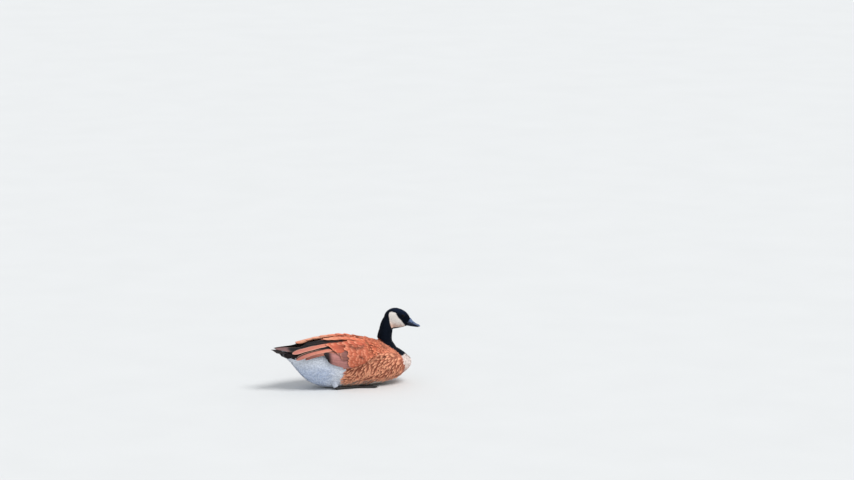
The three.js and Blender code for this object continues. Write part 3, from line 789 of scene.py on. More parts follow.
def bill_border(local):
    """How far forward the feathers reach over the bill, in the head's own axes."""
    return np.interp(-local[:, 2], [-40, -10, 3, 14, 40], [60, 55, 50, 43, 46])


def face_room(spots):
    """Where small feathers may lie on the head: behind the bill's border and clear of the eyes."""
    local = from_head(spots)
    eye = np.hypot(local[:, 0] - EYE_SPOT[0], (local[:, 2] - EYE_SPOT[2]) * 1.1)
    clear = (eye > 5.9) | (np.abs(local[:, 1]) < 9)
    return (local[:, 0] < bill_border(local) - 0.4) & clear


def under_wing(p):
    """True where the folded wing's own feathers cover the skin."""
    x, y, z = p.T
    lower = np.interp(x, [-226, -143, -80, -45, -10, 15, 38, 66], [78, 91, 58, 44, 37, 46, 57, 74])
    inner = np.interp(x, [-236, -150, -80, 0, 80], [20, 28, 35, 43, 50])
    return (x < 60) & (x > -215) & (z > lower) & (np.abs(y) > inner)


def coat_places(shown, root):
    """Which coat each feather belongs to, by where what shows of it lies and where its root is."""
    x, z, local = shown[:, 0], shown[:, 2], from_head(shown)
    neck = within(NECK_EDGE, shown)
    cheek = (within(CHEEK_EDGE, local) > 0) & (z > 170)
    head = (z > 164) & (root[:, 2] > 164) & face_room(root) & face_room(shown)
    trunk = (neck <= 0) & (x > -279) & (z < 168)
    breast = trunk & (within(BREAST_EDGE, shown) > -3)
    vent = within(VENT_EDGE, shown)
    open_air = trunk & ~under_wing(shown)
    brown = open_air & ~breast & (vent < np.where(z < 70, -7, -1))
    collar = brown & (neck > -24) & (z > 58)
    rump = brown & (x < -92)
    sides = brown & ~((neck > -24) & (z > 58)) & (x >= -92)
    return {
        "coat_face": head & ~cheek & (local[:, 0] > -6),
        "coat_nape": head & ~cheek & (local[:, 0] <= -6),
        "coat_cheeks": head & cheek,
        "coat_neck": (neck > 0) & (root[:, 2] <= 166) & (z > 112),
        "coat_neck_foot": (neck > 0) & (z <= 112),
        "coat_breast": breast,
        "coat_collar": collar & (within(NECK_EDGE, root) < 4),
        "coat_mantle": sides & (z > 84),
        "coat_rump": rump,
        "coat_flanks": sides & (z <= 84) & (z > -38),
        "coat_vent": open_air & (vent > -1),
        "coat_belly": brown & (z <= -38),
    }


# name, fringe and its share, the middle's brightness, the painted shade at the foot, barbs, roughness,
# gloss, where the fringe starts, tint
PLUMAGES = {
    "black": ("black velvet feathers", rgb(4, 8, 20), 0.6, 0.8, 0.0, 10.0, 0.6, 0.1, 0.66, (0.4, 0.6, 1.0)),
    "pale": ("pale soft feathers", rgb(246, 238, 232), 0.32, 0.97, 0.12, 12.0, 0.9, 0.2),
    "brown": ("brown feathers with pale fringes", rgb(246, 156, 116), 0.62, 0.76, 0.36, 24.0, 0.8, 0.2),
    "flank": ("streaked flank feathers", rgb(250, 176, 138), 0.85, 0.74, 0.5, 24.0, 0.8, 0.2, 0.5),
    "white": ("white rear feathers", rgb(240, 245, 254), 0.5, 0.97, 0.1, 20.0, 0.9, 0.2),
    "rump": ("black rump feathers", rgb(44, 32, 32), 0.4, 0.8, 0.0, 20.0, 0.7, 0.2),
}
plumages = {key: plumage(*row) for key, row in PLUMAGES.items()}
HEAD_EASE = 1.0
# seed, room across and along, length and half width and rise, plumage, slot, rows, columns, spread of
# the feathers' random tones, unruliness
COATS = {
    "coat_face": (11, (1.35, 1.6), (3.9, 1.1, 0.66), "black", "neck", 3, 3, 0.09, 0.0),
    "coat_nape": (12, (1.9, 2.3), (6.0, 1.5, 0.95), "black", "neck", 3, 3, 0.09, 0.0),
    "coat_cheeks": (13, (1.7, 2.0), (5.0, 1.3, 0.85), "pale", "white", 3, 3, 0.09, 0.0),
    "coat_neck": (14, (2.2, 3.0), (8.5, 1.9, 1.4), "black", "neck", 3, 3, 0.09, 0.0),
    "coat_neck_foot": (15, (3.0, 4.2), (12.0, 2.7, 2.3), "black", "neck", 4, 3, 0.09, 0.0),
    "coat_breast": (21, (3.6, 4.4), (13, 2.9, 1.9), "pale", "breast", 6, 5, 0.09, 0.0),
    "coat_collar": (27, (3.8, 5.4), (15.5, 2.9, 2.0), "brown", "mantle", 6, 7, 0.1, 0.5),
    "coat_mantle": (22, (6.3, 9.5), (31, 5.2, 2.6), "brown", "mantle", 6, 9, 0.1, 1.0),
    "coat_rump": (26, (7.0, 9.0), (25, 6.0, 3.2), "rump", "tail", 6, 5, 0.08, 0.4),
    "coat_flanks": (23, (4.6, 12), (43, 3.7, 4.0), "flank", "flank", 6, 9, 0.1, 1.0),
    "coat_vent": (24, (4.7, 6.8), (22, 4.2, 2.1), "white", "white", 6, 5, 0.03, 0.3),
    "coat_belly": (25, (6.0, 8.0), (23, 5.2, 2.4), "pale", "white", 4, 3, 0.04, 0.3),
}
for name, (seed, room, size, kind, slot, *form) in COATS.items():
    rng = np.random.default_rng(seed)
    room = [side * HEAD_EASE for side in room] if seed < 20 else room
    roots, normals = scatter(rng, lambda shown, root: coat_places(shown, root)[name], *room, size[0])
    finish(coat_piece(name, rng, roots, normals, size, *form), plumages[kind], slot)

# Wings: folded over the flanks. Rows of coverts run down into the flight feathers: the secondaries
# make the smooth panel low on the side, the long tertials lie over them, the dark primaries run out
# over the rump, and the scapulars cover the wing's root. Every vane is a thin curved plate.
PRIMARIES = Sheet(
    [(-80, -76, 122), (-165, -52, 121), (-240, -24, 118), (-306, -8, 118)],
    [(-80, -86, 108), (-165, -62, 110), (-240, -32, 110), (-298, -15, 112)],
    [(-80, -88, 94), (-165, -68, 99), (-232, -40, 102), (-280, -23, 105)],
)
COVERT, GREY_COVERT = np.array(rgb(190, 98, 70)), np.array(rgb(140, 92, 84))
ORANGE, MAUVE = np.array(rgb(192, 94, 68)), np.array(rgb(176, 120, 114))
TERTIAL, TERTIAL_TIP = np.array(rgb(206, 126, 104)), np.array(rgb(196, 122, 108))
COVERT_FRINGE, PALE_EDGE, FAR_TAN = rgb(234, 152, 120), rgb(240, 196, 172), rgb(228, 164, 134)
GAP_SHADE, QUILL_BLACK, QUILL_TIP_SHEEN = rgb(26, 15, 15), rgb(12, 9, 11), rgb(124, 92, 90)
VANE_THICKNESS = 0.55
PATCH_STARTS = np.array((0.04, 0.52)).reshape(2, 1, 1)  # of a vane's two faces on its bake patch


def blend(first, second, share):
    share = np.asarray(share, float)[..., None]
    return np.asarray(first) * (1 - share) + np.asarray(second) * share


def painted(base, *washes):
    """A vane's colours: a base and washes over it, each with its colour, its strength, and the
    measures along which it comes in, with their ends."""

    def colours(at):
        tone = base
        for colour, share, *ramps in washes:
            for measure, low, high in ramps:
                share = share * smooth(at[measure], low, high)
            tone = blend(tone, colour, share)
        return tone

    return colours


def fringed(base, fringe, share, start):
    """A covert's colours: darker towards the root, with a pale rim round its free end."""
    base = np.asarray(base)
    return painted(base * 0.72, (base, 1, ("s", 0.35, 0.8)), (fringe, share, ("worn", start, 0.97)))


def tertial(painted_light_share, hidden, edge):
    """A tertial's colours, darkened all over by a painted shade where asked, with painted shadow in the gap
    along one edge and a pale rim.
    """
    tip, gap = (TERTIAL_TIP * painted_light_share, 1, ("s", 0.5, 1)), (GAP_SHADE, 1, hidden, ("s", 0.2, 0.4))
    return painted(TERTIAL * painted_light_share, tip, gap, (PALE_EDGE, edge, ("end", 0.78, 0.95)))


def long_vane(s):
    """A flight feather's width from root to tip: narrow, then even, then rounded off."""
    round_tip = np.sqrt(np.clip(1 - ((np.maximum(s, 0.86) - 0.86) / 0.14) ** 2, 0, 1))
    return (0.55 + 0.45 * smooth(s, 0, 0.35)) * round_tip


def broad_vane(s):
    """A covert's width from root to tip: broadest past the middle, with a wide round end."""
    round_tip = np.sqrt(np.clip(1 - ((np.maximum(s, 0.68) - 0.68) / 0.32) ** 2, 0, 1))
    return (0.5 + 0.5 * smooth(s, 0, 0.6)) * round_tip


def vane_plate(sheet, rng, root, tip, half, lift, tilt, colours, outline, rows, columns, bend=1.0):
    """One feather on a sheet: the points of its upper and its lower face, what colour they have and
    where on the vane they lie."""
    s = 1 - (1 - np.linspace(0, 0.995, rows)) ** 1.45
    s, t = np.meshgrid(s, np.linspace(-1, 1, columns), indexing="ij")
    u = root[0] + (tip[0] - root[0]) * s
    middle = root[1] + (tip[1] - root[1]) * s**bend
    width = half * outline(s)
    splits = 0.05 * np.sin(s * rng.uniform(14, 30) + rng.uniform(0, 6)) * np.abs(t) ** 3
    v = middle + t * width * (1 - splits) / sheet.span(u, middle)
    rise = lift[0] + (lift[1] - lift[0]) * s**0.9 + t * tilt * outline(s) - 0.07 * half * t * t
    rise = rise + 0.25 * np.sin(s * 9 + rng.uniform(0, 6)) * t
    thick = VANE_THICKNESS * (1 - 0.75 * t**4) * (1 - 0.6 * s**6)
    points = np.stack([sheet.raised(u, v, rise + 0.5 * way * thick) for way in (1, -1)])
    edge = np.abs(t)
    at = {"s": s, "t": t, "u": u, "v": v, "edge": edge, "rim": np.maximum(edge, s)}
    at["worn"] = np.maximum(edge * (0.5 + 0.5 * s), s)
    at["end"] = np.maximum(edge, (s - 0.93) / 0.07)
    # A random tone for the vane, times the painted shade of the hollows.
    tone = colours(at) * (1 + 0.05 * rng.standard_normal()) * painted_fold_light(points[0])[..., None]
    vane = np.stack([t, s, np.full(s.shape, rng.random())], -1)
    return points, *(np.broadcast_to(part, points.shape) for part in (np.clip(tone, 0, 1), vane))


def row_of(sheet, rng, count, roots, tips, halves, lift, tilt, loose, *vane):
    """Like feathers whose roots and tips are spread evenly between the first and the last."""
    made = []
    for share in np.linspace(0, 1, count):
        root = blend(*roots, share) + rng.normal(0, loose, 2) * (0.35, 1)
        tip = blend(*tips, share) + rng.normal(0, loose, 2)
        half = (halves[0] * (1 - share) + halves[1] * share) * rng.uniform(0.94, 1.06)
        raised = (lift[0], lift[1] + rng.normal(0, 0.25))
        made.append(vane_plate(sheet, rng, root, tip, half, raised, tilt, *vane))
    return made


def vanes_piece(name, plates, side, material, slot, *nodes):
    """All the feathers of one row or wing as one mesh, with a patch of the bake map for each."""
    cells = math.ceil(math.sqrt(len(plates)))
    quads, places, start = [], [], 0
    for number, (points, _, vane) in enumerate(plates):
        quads.append(slab_quads(*points.shape[1:3], -1) + start)
        start += points.size // 3
        corner = np.array([number % cells, number // cells]) / cells
        spot = np.stack([(vane[..., 0] + 1) * 0.22 + PATCH_STARTS, vane[..., 1] * 0.9 + 0.05], -1)
        places.append(corner + spot.reshape(-1, 2) / cells)
    points, tone, vane = (np.concatenate([part.reshape(-1, 3) for part in parts]) for parts in zip(*plates))
    quads = np.concatenate(quads)[:, :: int(side[1])]
    piece = mesh_piece(name, placed(points * side), quads, {"tone": tone, "vane": vane})
    bake_map(piece, np.concatenate(places))
    return finish(piece, material, slot, *nodes)


SMALL, LARGE, QUILL = (broad_vane, 18, 9), (long_vane, 28, 13), (long_vane, 30, 9)
TIP_FRINGE = (COVERT_FRINGE, 0.75, ("rim", 0.8, 0.97))
SPREAD_TAN = (FAR_TAN, 1, ("u", 0.4, 0.7))
covert = (fringed(COVERT, COVERT_FRINGE, 0.7, 0.76), *SMALL)
grey = (fringed(GREY_COVERT, COVERT_FRINGE, 0.4, 0.85), *SMALL)
amber = (fringed(ORANGE, COVERT_FRINGE, 0.5, 0.85), *SMALL)
panel = (painted(
    MAUVE,
    (MAUVE * 0.8, 1, ("t", 0.1, -0.5)),
    (GAP_SHADE, 1, ("u", 0.62, 0.69)),
    (PALE_EDGE, 0.3, ("t", 0.78, 0.97), ("u", 0.66, 0.6)),
), *LARGE)
inner = (painted(QUILL_BLACK, (PALE_EDGE, 0.12, ("edge", 0.85, 1))), *LARGE)
quill = (painted(
    QUILL_BLACK,
    # Paler over the upper tips: partly the primaries' own brown, partly painted sheen of light on their
    # upper side.
    (QUILL_TIP_SHEEN, 1, ("u", 0.7, 0.78), ("v", 0.9, 0.7)),
    (PALE_EDGE, 0.15, ("edge", 0.85, 1)),
), *QUILL)
scapular = (painted(
    ORANGE,
    (ORANGE * 0.8, 1, ("s", 0.5, 0.1)),
    TIP_FRINGE,
    (GAP_SHADE, 0.9, ("t", -0.5, -0.75), ("u", 0.42, 0.5)),
    (GAP_SHADE, 0.85, ("t", 0.8, 0.95), ("s", 0.25, 0.5)),
), *SMALL)
far = (painted(TERRACOTTA, SPREAD_TAN, TIP_FRINGE), *SMALL)
near = (painted(
    TERRACOTTA,
    SPREAD_TAN,
    TIP_FRINGE,
    (GAP_SHADE, 0.9, ("t", 0.72, 0.95), ("u", 0.3, 0.42)),
), *SMALL)
# The lowest tertial lies under the others and is darkened to 0.55 by a painted shade.
lowest_tertial = (tertial(0.55, ("t", -0.3, -0.5), 0.3), *LARGE, 2.5)
tertial_between = (tertial(1, ("t", -0.3, -0.5), 0.75), *LARGE, 2.5)
top_tertial = (tertial(1, ("t", -0.7, -0.95), 0.75), *LARGE, 2.5)


def shoulder_row(row):
    u, shift, low = 0.185 + 0.032 * row, 0.035 * (row % 2), 0.8 + 0.02 * row
    roots = (u, 0.2 + shift), (u - 0.01, low + shift)
    tips = (u + 0.12, 0.19 + shift), (u + 0.1, low + 0.02 + shift)
    return 10, roots, tips, (9.4, 8.6), (-5 + 0.4 * row, -0.4 + 0.5 * row), 0.6, 0.014, *covert


# how many feathers, first and last root, first and last tip, half widths, lift of root and tip, tilt,
# looseness, kind of vane
MIDDLE_ROWS = [
    (11, ((0.33, 0.26), (0.3, 0.93)), ((0.51, 0.25), (0.45, 0.92)), (10, 9), (-4, 2.6), 0.7, 0.01, *covert),
    (9, ((0.42, 0.6), (0.38, 0.97)), ((0.74, 0.68), (0.7, 0.98)), (9, 8), (-4.5, 0.6), 0.7, 0.002, *panel),
    (5, ((0.42, 0.1), (0.42, 0.34)), ((0.88, 0.04), (0.96, 0.3)), (11, 11), (-5, -0.8), 0.8, 0.003, *inner),
    (1, [(0.46, 0.5)] * 2, [(0.93, 1.0)] * 2, (9.5, 9.5), (-5, 0.9), 1.0, 0.0, *lowest_tertial),
    (1, [(0.46, 0.38)] * 2, [(0.99, 0.88)] * 2, (10.5, 10.5), (-5, 1.6), 1.0, 0.0, *tertial_between),
    (1, [(0.44, 0.19)] * 2, [(0.98, 0.46)] * 2, (11.5, 11.5), (-5, 2.4), 1.0, 0.0, *top_tertial),
    (4, ((0.38, 0.7), (0.38, 0.5)), ((0.55, 0.72), (0.6, 0.5)), (11, 11), (-4, 2.6), 0.7, 0.006, *grey),
    (4, ((0.42, 0.46), (0.44, 0.3)), ((0.61, 0.49), (0.66, 0.31)), (12, 12), (-4, 3.6), 0.8, 0.004, *amber),
]
NEAR_ROWS = [
    (8, ((0.14, 0.2), (0.32, 0.1)), ((0.3, 0.13), (0.68, 0.02)), (10, 12), (-4.5, 2.8), 0.3, 0.003, *near),
]
far_roots = (0.15, 0.27), (0.58, 0.19)
FAR_ROWS = [
    (8, far_roots, ((0.31, 0.22), (0.92, 0.12)), (10, 12), (-4.5, 3.4), -4.5, 0.003, *far),
    (8, ((0.14, 0.2), (0.58, 0.08)), ((0.3, 0.11), (0.94, 0.0)), (10, 12), (-4.5, 3.6), 6.0, 0.003, *far),
]
scapular_tips = (0.39, 0.25), (0.68, 0.25)
LAST_ROWS = [(6, ((0.2, 0.29), (0.42, 0.27)), scapular_tips, (11, 13), (-4.5, 3.6), -0.6, 0.003, *scapular)]


def flight_plumage(name, barbs, roughness):
    """Stiff vanes: fine close barbs that slant back from a raised shaft."""
    paint = Paint(name, Roughness=roughness, Specular_IOR_Level=0.22)
    tone, t, s, luck = vane_parts(paint)
    barb = ((s * barbs + abs(t) * 5.0 + luck * 7.0) * 6.283).wave()
    colour = paint.mix(barb * 0.04 + 0.05, tone, (0.0, 0.0, 0.0))
    colour = paint.mix(paint.noise(160.0, 3.0).step(0.45, 0.75) * 0.16, colour, (0.02, 0.013, 0.012))
    shaft = 1 - abs(t + 0.12).step(0.02, 0.1)
    paint.put("Base Color", paint.mix(shaft * 0.35, colour, (0.02, 0.013, 0.012)))
    paint.bump(barb * 0.35 + shaft * 2.0, 0.4, 0.0005)
    return paint.material


vane_paint = flight_plumage("brown vanes", 60.0, 0.62)
black_vane_paint = flight_plumage("black vanes", 70.0, 0.5)
shoulder_rows = [shoulder_row(row) for row in range(5)]
for side, word, back_rows, seed in ((RIGHT, "right", NEAR_ROWS, 41), (LEFT, "left", FAR_ROWS, 42)):
    rng = np.random.default_rng(seed)
    rows = shoulder_rows + MIDDLE_ROWS + back_rows + LAST_ROWS
    plates = [plate for row in rows for plate in row_of(WING, rng, *row)]
    vanes_piece(f"wing_feathers_{word}", plates, side, vane_paint, "mantle", f"wing_{word}")
    roots, tips = ((0.02, 0.3), (0.02, 0.62)), ((1, 0.1), (0.74, 0.92))
    plates = row_of(PRIMARIES, rng, 9, roots, tips, (9, 9), (1.8, 0.2), 0.7, 0.0, *quill)
    vanes_piece(f"primaries_{word}", plates, side, black_vane_paint, "tail")


# Tail: a closed fan of black feathers, shallow as a roof, with the long white coverts of the rump
# over its roots. It lies under the tips of the wings.
TAIL = Sheet(
    [(-225, 17, 91), (-270, 27, 99), (-308, 36, 103)],
    [(-225, 0, 97), (-272, 0, 107), (-318, 0, 112)],
    [(-225, -17, 91), (-270, -27, 99), (-308, -36, 103)],
)


def tail_feathers(rng):
    black = painted(rgb(14, 11, 12), (rgb(92, 70, 68), 0.5, ("rim", 0.9, 1)))
    white = fringed(SNOW, rgb(240, 242, 245), 0.5, 0.8)
    for number in range(16):
        side = (2 * number) / 15 - 1
        root, tip = (0.1, 0.5 + 0.42 * side), (1 - 0.04 * abs(side), 0.5 + 0.42 * side)
        lift, tilt = (0.0, 0.4 - 0.8 * abs(side)), -0.5 if side < 0 else 0.5
        yield vane_plate(TAIL, rng, root, tip, 5.8, lift, tilt, black, long_vane, 22, 9)
    for row in range(3):
        for number in range(11):
            side = (2 * number) / 10 - 1
            root = (0.02 + 0.12 * row, 0.5 + (0.2 + 0.02 * (row % 2)) * side)
            tip = (root[0] + 0.32, root[1])
            lift = (-1.0, 3.4 - 0.7 * row - 0.8 * abs(side))
            yield vane_plate(TAIL, rng, root, tip, 5.6, lift, 0, white, broad_vane, 12, 7)


plates = list(tail_feathers(np.random.default_rng(51)))
vanes_piece("tail_feathers", plates, RIGHT, black_vane_paint, "tail", "tail")


# Bill: hard black horn, deep at its base, with a ridge down to the rounded nail at the tip, a long
# nostril on each side and fine ribs along the edges that strain food.
UPPER_BILL = [(35, 0, -6, -8, 0), (37, 12.5, -8, -13, 13), (54, 12, -9, -13.6, 13), (66, 3.6, -9, -13.6, 12)]
UPPER_BILL += [(78, -1.6, -9.4, -13.1, 11), (89, -4.4, -10, -12.6, 9.8), (97, -5.6, -9.8, -13.2, 7.4)]
UPPER_BILL += [(102, -9.4, -10.6, -12.2, 0)]
LOWER_BILL = [(35, -17, -18, -19, 0), (38, -13.6, -17, -22.4, 11), (54, -13.8, -17, -21.6, 10.6)]
LOWER_BILL += [(72, -13.6, -16.4, -19.5, 9.2), (88, -13.0, -14.9, -17, 7.4), (97, -14.2, -14.8, -15.6, 0)]
NOSTRIL = (68.0, -3.6)


def horn(lines, rings, around, power):
    """A closed hull's grid through the lines, in the head's own axes, ring by ring. Each line says how
    far forward it is, the heights of its top, waist and foot, and half its width."""
    places = (len(lines) - 1) * (1 - np.cos(np.linspace(0.02, math.pi - 0.02, rings))) / 2
    x, top, waist, bottom, half = spline(lines, places).T[:, :, None]
    angle = np.linspace(0, 2 * math.pi, around, endpoint=False)[None]
    up, out = np.cos(angle), np.sin(angle)
    rise = np.where(up > 0, top - waist, waist - bottom)
    z = waist + rise * np.sign(up) * np.abs(up) ** (2 / power)
    y = np.maximum(half, 0.02) * np.sign(out) * np.abs(out) ** (2 / power)
    return np.stack([np.broadcast_to(x, y.shape), y, z], -1), np.broadcast_to(angle, y.shape)


def bill_paint():
    paint = Paint("black horn", IOR=1.45, Specular_IOR_Level=0.3)
    grain = paint.noise(260.0, 4.0, (1, 2.2, 2.2))
    wear_and_sheen = paint.noise(70.0, 5.0)
    # The horn is black: its blue tint, and the paler blue over its upper side, are painted reflection of the
    # sky.
    colour = paint.mix(wear_and_sheen.step(0.35, 0.75), rgb(10, 16, 30), rgb(28, 40, 64))
    sky_sheen = paint.carried("sky_sheen", 2) * (wear_and_sheen.step(0.3, 0.7) * 0.4 + 0.3)
    colour = paint.mix(sky_sheen, colour, rgb(110, 130, 168))
    paint.put("Base Color", paint.mix(grain.step(0.55, 0.8) * 0.25, colour, rgb(100, 120, 152)))
    paint.put("Roughness", wear_and_sheen.step(0.3, 0.7) * 0.12 + 0.17)
    paint.bump(grain, 0.25, 0.0006)
    return paint.material


def bill_half(name, lines, rings, around, power, shape, node):
    points = shape(*horn(lines, rings, around, power))
    quads = grid_quads(rings, around, closed=True)
    flat = points.reshape(-1, 3)
    middles = flat[quads].mean(1)
    quads = quads[middles[:, 0] > bill_border(middles) - 3]
    end = np.arange(around) + (rings - 1) * around
    nose = np.stack([end, np.roll(end, -1), np.full(around, len(flat))], -1)
    flat = np.vstack([flat, points[-1].mean(0)])
    used = np.unique(np.concatenate([quads.ravel(), nose.ravel()]))
    number = np.zeros(len(flat), int)
    number[used] = np.arange(len(used))
    # The painted sky reflection covers the upper bill above a line that falls towards the tip.
    edge = np.interp(flat[:, 0], [50, 68, 85, 96], [-3, -7.5, -9.5, -13])
    sky_sheen = {"sky_sheen": smooth(flat[:, 2], edge, edge + 3)[used]}
    piece = mesh_piece(name, placed(on_head(flat[used])), number[quads], sky_sheen, number[nose])
    finish(piece, bill_material, "bill", node)


def shape_upper(points, angle):
    x, y, z = np.moveaxis(points, -1, 0)
    pit = np.hypot((x - NOSTRIL[0]) / 4.6, (z - NOSTRIL[1] + 0.25 * (x - NOSTRIL[0])) / 1.9)
    rim = np.exp(-(((pit - 1.25) / 0.3) ** 2))
    inward = 2.6 * smooth(pit, 1.1, 0.5) - 0.35 * rim
    ribs = 0.22 * np.sin(x * 3.6) * smooth(z, -10.6, -12.2) * smooth(x, 94, 88)
    nail = 0.45 * smooth(x, 88.5, 90.5) * smooth(np.abs(y), 6.0, 4.6) * (np.cos(angle) > 0)
    ridge = 0.4 * smooth(np.abs(y), 3.2, 0.5) * (np.cos(angle) > 0) * smooth(x, 90, 80)
    return np.stack([x, y - np.sign(y) * (inward + ribs), z + (nail + ridge)], -1)


def shape_lower(points, angle):
    x, y, z = np.moveaxis(points, -1, 0)
    ribs = 0.2 * np.sin(x * 3.6) * (np.cos(angle) > 0.1)
    return np.stack([x, y - np.sign(y) * ribs, z], -1)


bill_material = bill_paint()
bill_half("bill_top", UPPER_BILL, 130, 96, 2.3, shape_upper, "bill_upper")
bill_half("bill_bottom", LOWER_BILL, 80, 64, 2.15, shape_lower, "bill_lower")


# Eyes: dark brown and wet, each a ball with a clear bulge over a black pupil, held by a ring of
# bare wrinkled lid.
EYE_RADIUS = 6.5
LID_HEIGHT = 4.75


def eye_paint():
    gloss = {"Specular_IOR_Level": 0.1, "Coat_Weight": 0.06, "Coat_Roughness": 0.02}
    paint = Paint("wet brown eye", Roughness=0.06, IOR=1.3, **gloss)
    gaze = paint.carried("gaze", 2)
    iris = paint.mix(paint.noise(1500.0, 2.0), rgb(16, 9, 7), rgb(34, 19, 14))
    iris = paint.mix(gaze.step(35.0, 46.0), iris, (0.004, 0.003, 0.003))
    paint.put("Base Color", paint.mix(gaze.step(25.0, 28.0), (0.002, 0.002, 0.002), iris))
    return paint.material


def lid_paint():
    paint = Paint("bare black lid", Roughness=0.6, Specular_IOR_Level=0.15)
    folds = paint.noise(1100.0, 4.0)
    paint.put("Base Color", paint.mix(folds, rgb(5, 5, 7), rgb(20, 20, 23)))
    paint.bump(folds, 0.6, 0.0004)
    return paint.material


def make_eyeball(side, word, centre):
    pole = unit(np.array((0.1, side, 0.08)))
    across = unit(np.cross(pole, (0, 0, 1.0)))
    up = np.cross(across, pole)
    rings, around = 60, 48
    polar = np.linspace(0.5, 150, rings)[:, None, None]
    angle = np.linspace(0, 2 * math.pi, around, endpoint=False)[None, :, None]
    radius = EYE_RADIUS * (1 + 0.035 * smooth(polar, 50, 15))
    out = np.cos(angle) * across + np.sin(angle) * up
    points = radius * (np.cos(np.radians(polar)) * pole + np.sin(np.radians(polar)) * out)
    flat = np.vstack([(points + centre).reshape(-1, 3), centre + pole * radius[0, 0]])
    first = np.arange(around)
    cap = np.stack([first, np.roll(first, -1), np.full(around, len(flat) - 1)], -1)
    gaze = {"gaze": np.append(np.repeat(polar.ravel(), around), 0.0)}
    quads = grid_quads(rings, around, closed=True)[:, ::-1]
    piece = mesh_piece(f"eyeball_{word}", placed(on_head(flat)), quads, gaze, cap)
    finish(piece, eye_material, "eye", f"eye_{word}")


def make_lid(side, word, centre):
    turns, around = 96, 14
    turn = np.linspace(0, 2 * math.pi, turns, endpoint=False)
    x, z = (5.5 + 0.55 * np.abs(np.cos(turn)) ** 6) * np.cos(turn), LID_HEIGHT * np.sin(turn)
    out = np.sqrt(np.maximum((EYE_RADIUS + 0.1) ** 2 - x**2 - z**2, 1.0))
    middle = np.stack([x, side * (out + 0.1), z], -1) + centre
    away = unit(np.stack([x, 0 * x, z], -1))
    ring = np.linspace(0, 2 * math.pi, around, endpoint=False)[None, :, None]
    thick = (0.95 + 0.1 * np.sin(turn * 17) + 0.08 * np.sin(turn * 31))[:, None, None]
    offset = away[:, None] * np.cos(ring) + np.array((0, side, 0.0)) * np.sin(ring) * 0.8
    points = placed(on_head((middle[:, None] + offset * thick).reshape(-1, 3)))
    piece = mesh_piece(f"lid_{word}", points, grid_quads(turns, around, closed=True, ring=True))
    finish(piece, lid_material, "leg")


eye_material, lid_material = eye_paint(), lid_paint()
for side, word in ((-1, "right"), (1, "left")):
    make_eyeball(side, word, EYE_SPOT * (1, side, 1))
    make_lid(side, word, EYE_SPOT * (1, side, 1))


# Legs and feet: black, folded under the belly, the shank along the floor and three webbed toes to the
# front. The skin is scaly, with broad plates down the shank and toes, each toe ends in a claw, and white
# feathers sheathe the top of the leg.
FLOOR = -58.0
FOOT_AT = np.array((26.0, -61.0, FLOOR))
SHANK = [(-52, -52, 0), (-68, -60, -34), (-62, -62, -50.5), (-34, -62, -52), (26, -61, -52.6)]
SHANK_SIZES = [(11, 12), (8.5, 9.5), (6.8, 7), (5.5, 5), (5, 5.2)]
TOES = [(70, 12, 4.0), (88, -4, 4.4), (80, -20, 4.2)]  # reach, turn and thickness
HIND_TOE = [(-4, 3, 5), (-12, 6, 4), (-17, 8, 3)]
CLAW_STEPS = [(-2, 0), (3, 0.9), (6, 0.2), (8.2, -1.4)]  # ahead of the toe's tip and above it
CLAW_SIZES = [(1.6, 1.5), (1.5, 1.5), (0.95, 1), (0.2, 0.2)]
THIGH_SIZES = [(15, 20), (11, 13), (7.4, 7.6)]


class Sleeve(Sheet):
    """The face of a limb along a path. u runs along it and v round it."""

    def __init__(self, path, sizes):
        line = curve_through(path)
        forward = unit(np.gradient(line, axis=0))
        side = unit(np.array((0, 1.0, 0)) - forward * forward[:, 1:2])
        wide, deep = spline(sizes, np.linspace(0, len(sizes) - 1, len(line))).T[..., None]
        self.lines = np.stack([line, side * wide, np.cross(forward, side) * deep])

    def at(self, u, v, swell=1.0):
        u, v = np.broadcast_arrays(np.asarray(u, float), np.asarray(v, float))
        line, side, up = along(self.lines, u)
        angle = -2 * math.pi * v[..., None]
        return line + (side * np.cos(angle) + up * np.sin(angle)) * swell


def tube(path, sizes, rings, around, scutes=0.0):
    """A closed limb, as points, faces and end faces, with raised plates across it."""
    u = np.linspace(0, 1, rings)[:, None]
    v = np.linspace(0, 1, around, endpoint=False)[None]
    plates = 1 + scutes * np.abs(np.sin(u * rings / 3))[..., None]
    points = Sleeve(path, sizes).at(u, v, plates)
    ends = points[[0, -1]].mean(1) + (points[[0, -1]].mean(1) - points[[1, -2]].mean(1)) * 0.6
    first = np.arange(around)
    last = first + (rings - 1) * around
    count = rings * around
    caps = [(first, np.roll(first, -1), count), (np.roll(last, -1), last, count + 1)]
    caps = [np.stack([a, b, np.full(around, c)], -1) for a, b, c in caps]
    points = np.vstack([points.reshape(-1, 3), ends])
    return points, grid_quads(rings, around, closed=True), np.concatenate(caps)


def merged(parts):
    starts = np.cumsum([0] + [len(part[0]) for part in parts])
    quads, caps = ([part[k] + start for part, start in zip(parts, starts)] for k in (1, 2))
    return np.concatenate([part[0] for part in parts]), np.concatenate(quads), np.concatenate(caps)


def toe_line(toe, share):
    reach, turn, thick = toe
    share = np.asarray(share, float)
    height = thick * (0.9 - 0.35 * share) + 0.35 * (0.5 + 0.5 * np.cos(share * 4 * math.pi))
    way = math.radians(turn)
    ahead = share * reach
    return FOOT_AT + np.stack([ahead * math.cos(way), ahead * math.sin(way), height], -1)


